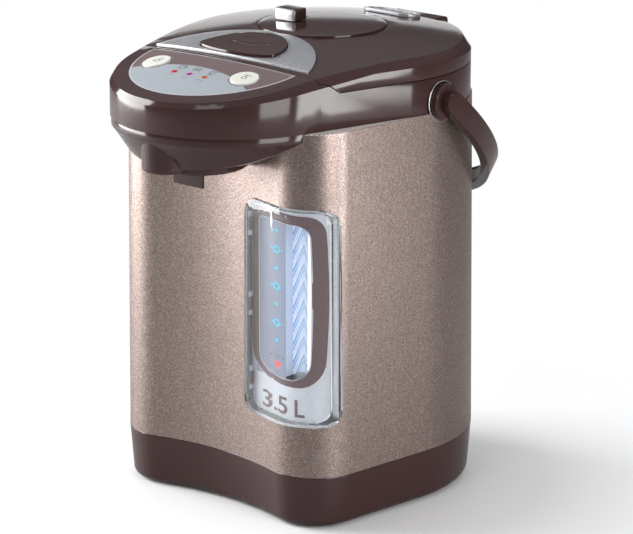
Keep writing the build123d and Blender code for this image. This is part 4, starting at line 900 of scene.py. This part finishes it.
def add_panel_signs():
    """Small signs over the lenses, dashes before them, and an icon on each button."""
    ink = plastic("sign_grey", (0.10, 0.09, 0.10), 0.4, 0.01, 1500.0, 0.1)
    y = LED_Y + 7.6 * MM
    cup = join([flat_ring(2.6 * MM, 2.1 * MM), shifted(flat_bar(5.4 * MM, 0.45 * MM), 0, 2.2 * MM),
                shifted(flat_ring(1.2 * MM, 0.8 * MM), 3.4 * MM, 0)])
    lay_flat(cup, -LED_PITCH, y, "control_panel", "sign_cup", ink)
    waves = [shifted(flat_bar(5.6 * MM, 0.45 * MM), 0, step * 1.7 * MM) for step in (-1, 0, 1)]
    waves += [shifted(flat_bar(0.45 * MM, 4.6 * MM), side * 2.6 * MM, 0) for side in (-1, 1)]
    lay_flat(join(waves), 0, y, "control_panel", "sign_heat", ink)
    tap = [flat_ring(2.4 * MM, 1.9 * MM),
           shifted(flat_bar(3.2 * MM, 0.45 * MM), 2.6 * MM, 2.2 * MM),
           shifted(flat_bar(4.0 * MM, 0.45 * MM), 0, -3.2 * MM)]
    lay_flat(join(tap), LED_PITCH, y, "control_panel", "sign_keep", ink)
    for step in (-1, 0, 1):
        dash = [shifted(flat_bar(1.5 * MM, 0.4 * MM), part * 2.0 * MM, 0) for part in (-1, 0, 1)]
        lay_flat(join(dash), step * LED_PITCH, LED_Y - 4.6 * MM, "control_panel",
                 f"sign_dash_{step + 2}", ink)
    lock = [shifted(flat_bar(4.6 * MM, 0.5 * MM), 0, step * 1.5 * MM) for step in (-1, 1)]
    lock += [shifted(flat_bar(0.5 * MM, 3.5 * MM), side * 2.1 * MM, 0) for side in (-1, 1)]
    lock += [shifted(flat_ring(1.6 * MM, 1.15 * MM), 1.2 * MM, 2.7 * MM)]
    lay_flat(join(lock), -BUTTON_X, BUTTON_Y, "unlock_button", "sign_unlock", ink,
             "left_button")
    drop = [shifted(flat_ring(1.9 * MM, 1.4 * MM), 0, -0.6 * MM),
            shifted(flat_bar(5.6 * MM, 0.5 * MM), 0, 3.2 * MM),
            shifted(flat_bar(0.5 * MM, 1.8 * MM), 0, 2.1 * MM)]
    lay_flat(join(drop), BUTTON_X, BUTTON_Y, "dispense_button", "sign_pour", ink,
             "right_button")


# ------------------------------------------------------------------ shell's edge, bosses, bellows
# the shell's outline at its top, from the pot's axis, in mm
NECK_REAR = 99.4                         # radius of the rear half
NECK_CORNER = (63.07, -76.53, 29.9)      # front corners: middle and radius
NECK_HOLLOW = (-280.6, 183.7)            # hollow front: middle and radius
HOLLOW_TURN = 17.2                       # half of the hollow's arc, in degrees
HOSE = (66.5, -91.5, 7.2)                # hole for the pouring hose: middle and radius
LIP_INSIDE = 0.8                         # the lip's inner edge, as a share of the outline


def arc(x, y, radius, start, end, steps):
    turns = [radians(start + (end - start) * n / steps) for n in range(steps + 1)]
    return [(x + radius * cos(turn), y + radius * sin(turn)) for turn in turns]


def neck_line(share=1.0):
    """The shell's outline at its top edge, drawn in towards the pot's axis by a share."""
    x, y, radius = NECK_CORNER
    centre, hollow = NECK_HOLLOW
    line = arc(0, 0, NECK_REAR, 185, -5, 60)
    line += arc(x, y, radius, -5, -90 - HOLLOW_TURN, 20)
    line += arc(0, centre, hollow, 90 - HOLLOW_TURN, 90 + HOLLOW_TURN, 24)[1:-1]
    line += arc(-x, y, radius, -90 + HOLLOW_TURN, -175, 20)
    return [(px * share * MM, py * share * MM, 0) for px, py in line]


def add_shell_lip():
    """The steel shell's top edge, folded in under the head, open for the pouring hose; its pale
    colour is a painted highlight.
    """
    x, y, radius = HOSE
    hose = [(px * MM, py * MM, 0) for px, py in arc(x, y, radius, 0, 345, 23)]
    lip = flat_shape((neck_line(), neck_line(LIP_INSIDE), hose))
    lip.location = (0, AXIS_Y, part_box("outer_shell")[1][2] - 0.6 * MM)
    settle(lip, "shell_top_lip")
    finish_with(lip, "SOLIDIFY", thickness=0.5 * MM, offset=1.0)
    finish_with(lip, "BEVEL", width=0.15 * MM, segments=2, limit_method="ANGLE")
    smooth(lip)
    # pale colour: painted highlight where the shell's edge catches the light
    paint(lip, plastic("folded_edge_painted_highlight", (0.80, 0.74, 0.71), 0.4, 0.02, 1500.0, 0.2))
    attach(lip, "pot")


SEAT_X, SEAT_Y, SEAT_Z = 99.2 * MM, AXIS_Y + 4.8 * MM, 269.6 * MM
SEAT_R, SEAT_THICK = 13.0 * MM, 0.55 * MM


def add_boss_rings():
    """A bright ring round each seat of the handle."""
    for side, name in ((-1, "left"), (1, "right")):
        deselect()
        bpy.ops.mesh.primitive_torus_add(
            major_segments=64, minor_segments=10, major_radius=SEAT_R, minor_radius=SEAT_THICK,
            location=(side * SEAT_X, SEAT_Y, SEAT_Z), rotation=(0, pi / 2, 0))
        ring = settle(bpy.context.object, f"boss_ring_{name}")
        smooth(ring, 180)
        paint(ring, finishes["steel_drawn"])
        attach(ring, "pot")


def add_bellows():
    """Rubber bellows of the hand pump in five folds, carried by the body that holds the bellows."""
    (_, _, low), (outer, _, high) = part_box("bellows")
    inner, cuff, folds = 30.0 * MM, 2.0 * MM, 5
    pitch = (high - low - 2 * cuff) / folds
    steps = [(cuff, 1.0)]
    for _ in range(folds):
        steps += [(pitch / 2, inner / outer), (pitch / 2, outer / inner)]
    steps.append((cuff, 1.0))
    deselect()
    bpy.ops.mesh.primitive_circle_add(vertices=72, radius=outer, fill_type="NGON",
                                      location=(0, AXIS_Y, low))
    piece = bpy.context.object
    bpy.ops.object.mode_set(mode="EDIT")
    bpy.ops.mesh.select_all(action="SELECT")
    for rise, share in steps:
        bpy.ops.mesh.extrude_region_move(TRANSFORM_OT_translate={"value": (0, 0, rise)})
        bpy.ops.transform.resize(value=(share, share, 1), center_override=(0, AXIS_Y, low))
    bpy.ops.mesh.select_all(action="SELECT")
    bpy.ops.mesh.normals_make_consistent(inside=False)
    bpy.ops.object.mode_set(mode="OBJECT")
    settle(piece, "pump_bellows")
    finish_with(piece, "BEVEL", width=0.4 * MM, segments=2, limit_method="ANGLE")
    smooth(piece)
    paint(piece, finishes["rubber_black"])
    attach(piece, nodes["bellows"]["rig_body"])
    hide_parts("bellows")
    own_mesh(piece)


for node, finish in (("stripe_card", stripe_finish()), ("gauge_plate", plate_finish()),
                     ("control_panel", panel_finish()), ("led_lenses", lens_finish()),
                     ("lock_knob", knob_finish()), ("level_tube", thin_clear_finish()),
                     ("gauge_cover", cover_finish())):
    dress_node(node, finish)
add_gauge_ring()
add_gauge_marks()
add_gauge_volume()
add_gauge_walls()
add_panel_signs()
add_shell_lip()
add_boss_rings()
add_bellows()

# ------------------------------------------------------------------ camera, floor and lights
FRAME_WIDE = 633                         # pixels across the picture
FOCAL = 3307.9                           # in the same pixels
SENSOR = 36.0                            # mm across
REACH = 2.2263                           # from the camera to the point it looks at
LOOK_AT = (-3.832 * MM, -8.89 * MM, 150.0 * MM)   # right, up, height over the floor
AZIMUTH, ELEVATION = radians(41.89), radians(15.639)


def add_camera():
    back = Vector((sin(AZIMUTH) * cos(ELEVATION), -cos(AZIMUTH) * cos(ELEVATION), sin(ELEVATION)))
    right = Vector((cos(AZIMUTH), sin(AZIMUTH), 0))
    up = back.cross(right)
    target = Vector((0, AXIS_Y, LOOK_AT[2])) + right * LOOK_AT[0] + up * LOOK_AT[1]
    data = bpy.data.cameras.new("camera")
    data.sensor_width = SENSOR
    data.lens = FOCAL / FRAME_WIDE * SENSOR
    data.clip_end = 20.0
    camera = bpy.data.objects.new("camera", data)
    camera.matrix_world = Matrix.Translation(target + back * REACH) @ Matrix(
        (right, up, back)).transposed().to_4x4()
    bpy.context.scene.collection.objects.link(camera)
    bpy.context.scene.camera = camera


def seen_directly(tree):
    """1 for rays from the camera, also through clear parts; 0 for mirrored and lighting rays."""
    rays = tree.nodes.new("ShaderNodeLightPath")
    return math_node(tree, "MAXIMUM", rays.outputs["Is Camera Ray"],
                     rays.outputs["Is Transmission Ray"])


# the dim studio round the pot, from below (0) to above (1)
STUDIO = ((0.0, (0.16, 0.16, 0.165)), (0.5, (0.06, 0.06, 0.0612)), (0.62, (0.12, 0.12, 0.1224)),
          (0.8, (0.40, 0.40, 0.408)), (1.0, (0.48, 0.48, 0.50)))
BACKGROUND = (1.0, 1.0, 1.0)


def add_world():
    """White to the eye; the pot is lit by, and mirrors, a dim studio."""
    world = bpy.data.worlds.new("studio")
    bpy.context.scene.world = world
    world.use_nodes = True
    tree = world.node_tree
    tree.nodes.clear()
    place = tree.nodes.new("ShaderNodeTexCoord")
    split = tree.nodes.new("ShaderNodeSeparateXYZ")
    tree.links.new(place.outputs["Generated"], split.inputs[0])
    height = math_node(tree, "MULTIPLY_ADD", split.outputs[2], 0.5, 0.5)
    studio = colour_ramp(tree, height, STUDIO)
    light = tree.nodes.new("ShaderNodeBackground")
    tree.links.new(mix_colour(tree, seen_directly(tree), studio, BACKGROUND),
                   light.inputs["Color"])
    output = tree.nodes.new("ShaderNodeOutputWorld")
    tree.links.new(light.outputs[0], output.inputs[0])


FLOOR_WIDE, FLOOR_Z = 6.0, -0.2 * MM
FLOOR_SEEN = (0.93, 0.93, 0.93)
FLOOR_LIT = (0.42, 0.42, 0.42)           # what it throws back on the pot


def add_floor():
    """White floor; away from the pot it is plain white to the eye, so it has no horizon."""
    deselect()
    bpy.ops.mesh.primitive_plane_add(size=FLOOR_WIDE, location=(0, 0, FLOOR_Z))
    floor = settle(bpy.context.object, "floor")
    material, tree, shader = new_material("floor_white")
    shader.inputs["Roughness"].default_value = 0.6
    shader.inputs["Specular IOR Level"].default_value = 0.2
    _, x, y, _ = object_xyz(tree)
    reach = math_node(tree, "SQRT", math_node(tree, "ADD", math_node(tree, "MULTIPLY", x, x),
                                              math_node(tree, "MULTIPLY", y, y)))
    # 0 up to 167 mm from the middle of the floor, 1 from 333 mm on
    away = math_node(tree, "MINIMUM", math_node(
        tree, "MAXIMUM", math_node(tree, "MULTIPLY_ADD", reach, 6.0, -1.0), 0.0), 1.0)
    seen = seen_directly(tree)
    tree.links.new(mix_colour(tree, seen, FLOOR_LIT, FLOOR_SEEN), shader.inputs["Base Color"])
    white = tree.nodes.new("ShaderNodeEmission")
    blend = tree.nodes.new("ShaderNodeMixShader")
    output = next(n for n in tree.nodes if n.type == "OUTPUT_MATERIAL")
    tree.links.new(math_node(tree, "MULTIPLY", away, seen), blend.inputs[0])
    tree.links.new(shader.outputs[0], blend.inputs[1])
    tree.links.new(white.outputs[0], blend.inputs[2])
    tree.links.new(blend.outputs[0], output.inputs["Surface"])
    paint(floor, material)


def panel_light(name, wide, high, power, place, toward):
    """A lit rectangle that shines against a direction, the one in which it lies from the pot."""
    data = bpy.data.lights.new(name, "AREA")
    data.shape = "RECTANGLE"
    data.size, data.size_y = wide, high
    data.energy = power
    lamp = bpy.data.objects.new(name, data)
    lamp.location = place
    lamp.rotation_euler = toward.to_track_quat("Z", "Y").to_euler()
    bpy.context.scene.collection.objects.link(lamp)
    return lamp


AIM_HIGH = 160.0 * MM                    # about half the pot's height


def add_softbox(name, direction, distance, wide, high, power):
    """A lit panel that faces the middle of the pot."""
    toward = Vector(direction).normalized()
    place = Vector((0, AXIS_Y, AIM_HIGH)) + toward * distance
    panel_light(name, wide, high, power, place, toward)


def stand_softbox(name, azimuth, distance, wide, low, high, power, aside=0.0):
    """An upright lit panel over the floor; azimuth in degrees from +X to +Y, then moved aside."""
    turn = radians(azimuth)
    toward = Vector((cos(turn), sin(turn), 0))
    place = (Vector((0, AXIS_Y, (low + high) / 2)) + toward * distance
             + Vector((-sin(turn), cos(turn), 0)) * aside)
    lamp = panel_light(name, wide, high - low, power, place, toward)
    lamp.visible_transmission = False


def add_lights():
    stand_softbox("strip_right", 0.0, 0.86, 0.20, 0.0, 0.25, 1.5, 0.225)
    stand_softbox("softbox_right", -12.0, 1.1, 0.55, 0.0, 0.8, 7)
    stand_softbox("softbox_left", 207.0, 1.4, 1.1, 0.0, 1.2, 46)
    stand_softbox("softbox_back", 132.0, 1.8, 0.9, 0.02, 0.6, 1.6)
    add_softbox("softbox_front", (0.25, -1.0, 0.75), 2.4, 0.8, 0.8, 4)
    add_softbox("overhead", (-0.2, 0.2, 1.0), 1.7, 1.5, 1.2, 5)


add_camera()
add_world()
add_floor()
add_lights()
bpy.context.scene.view_settings.view_transform = "Standard"
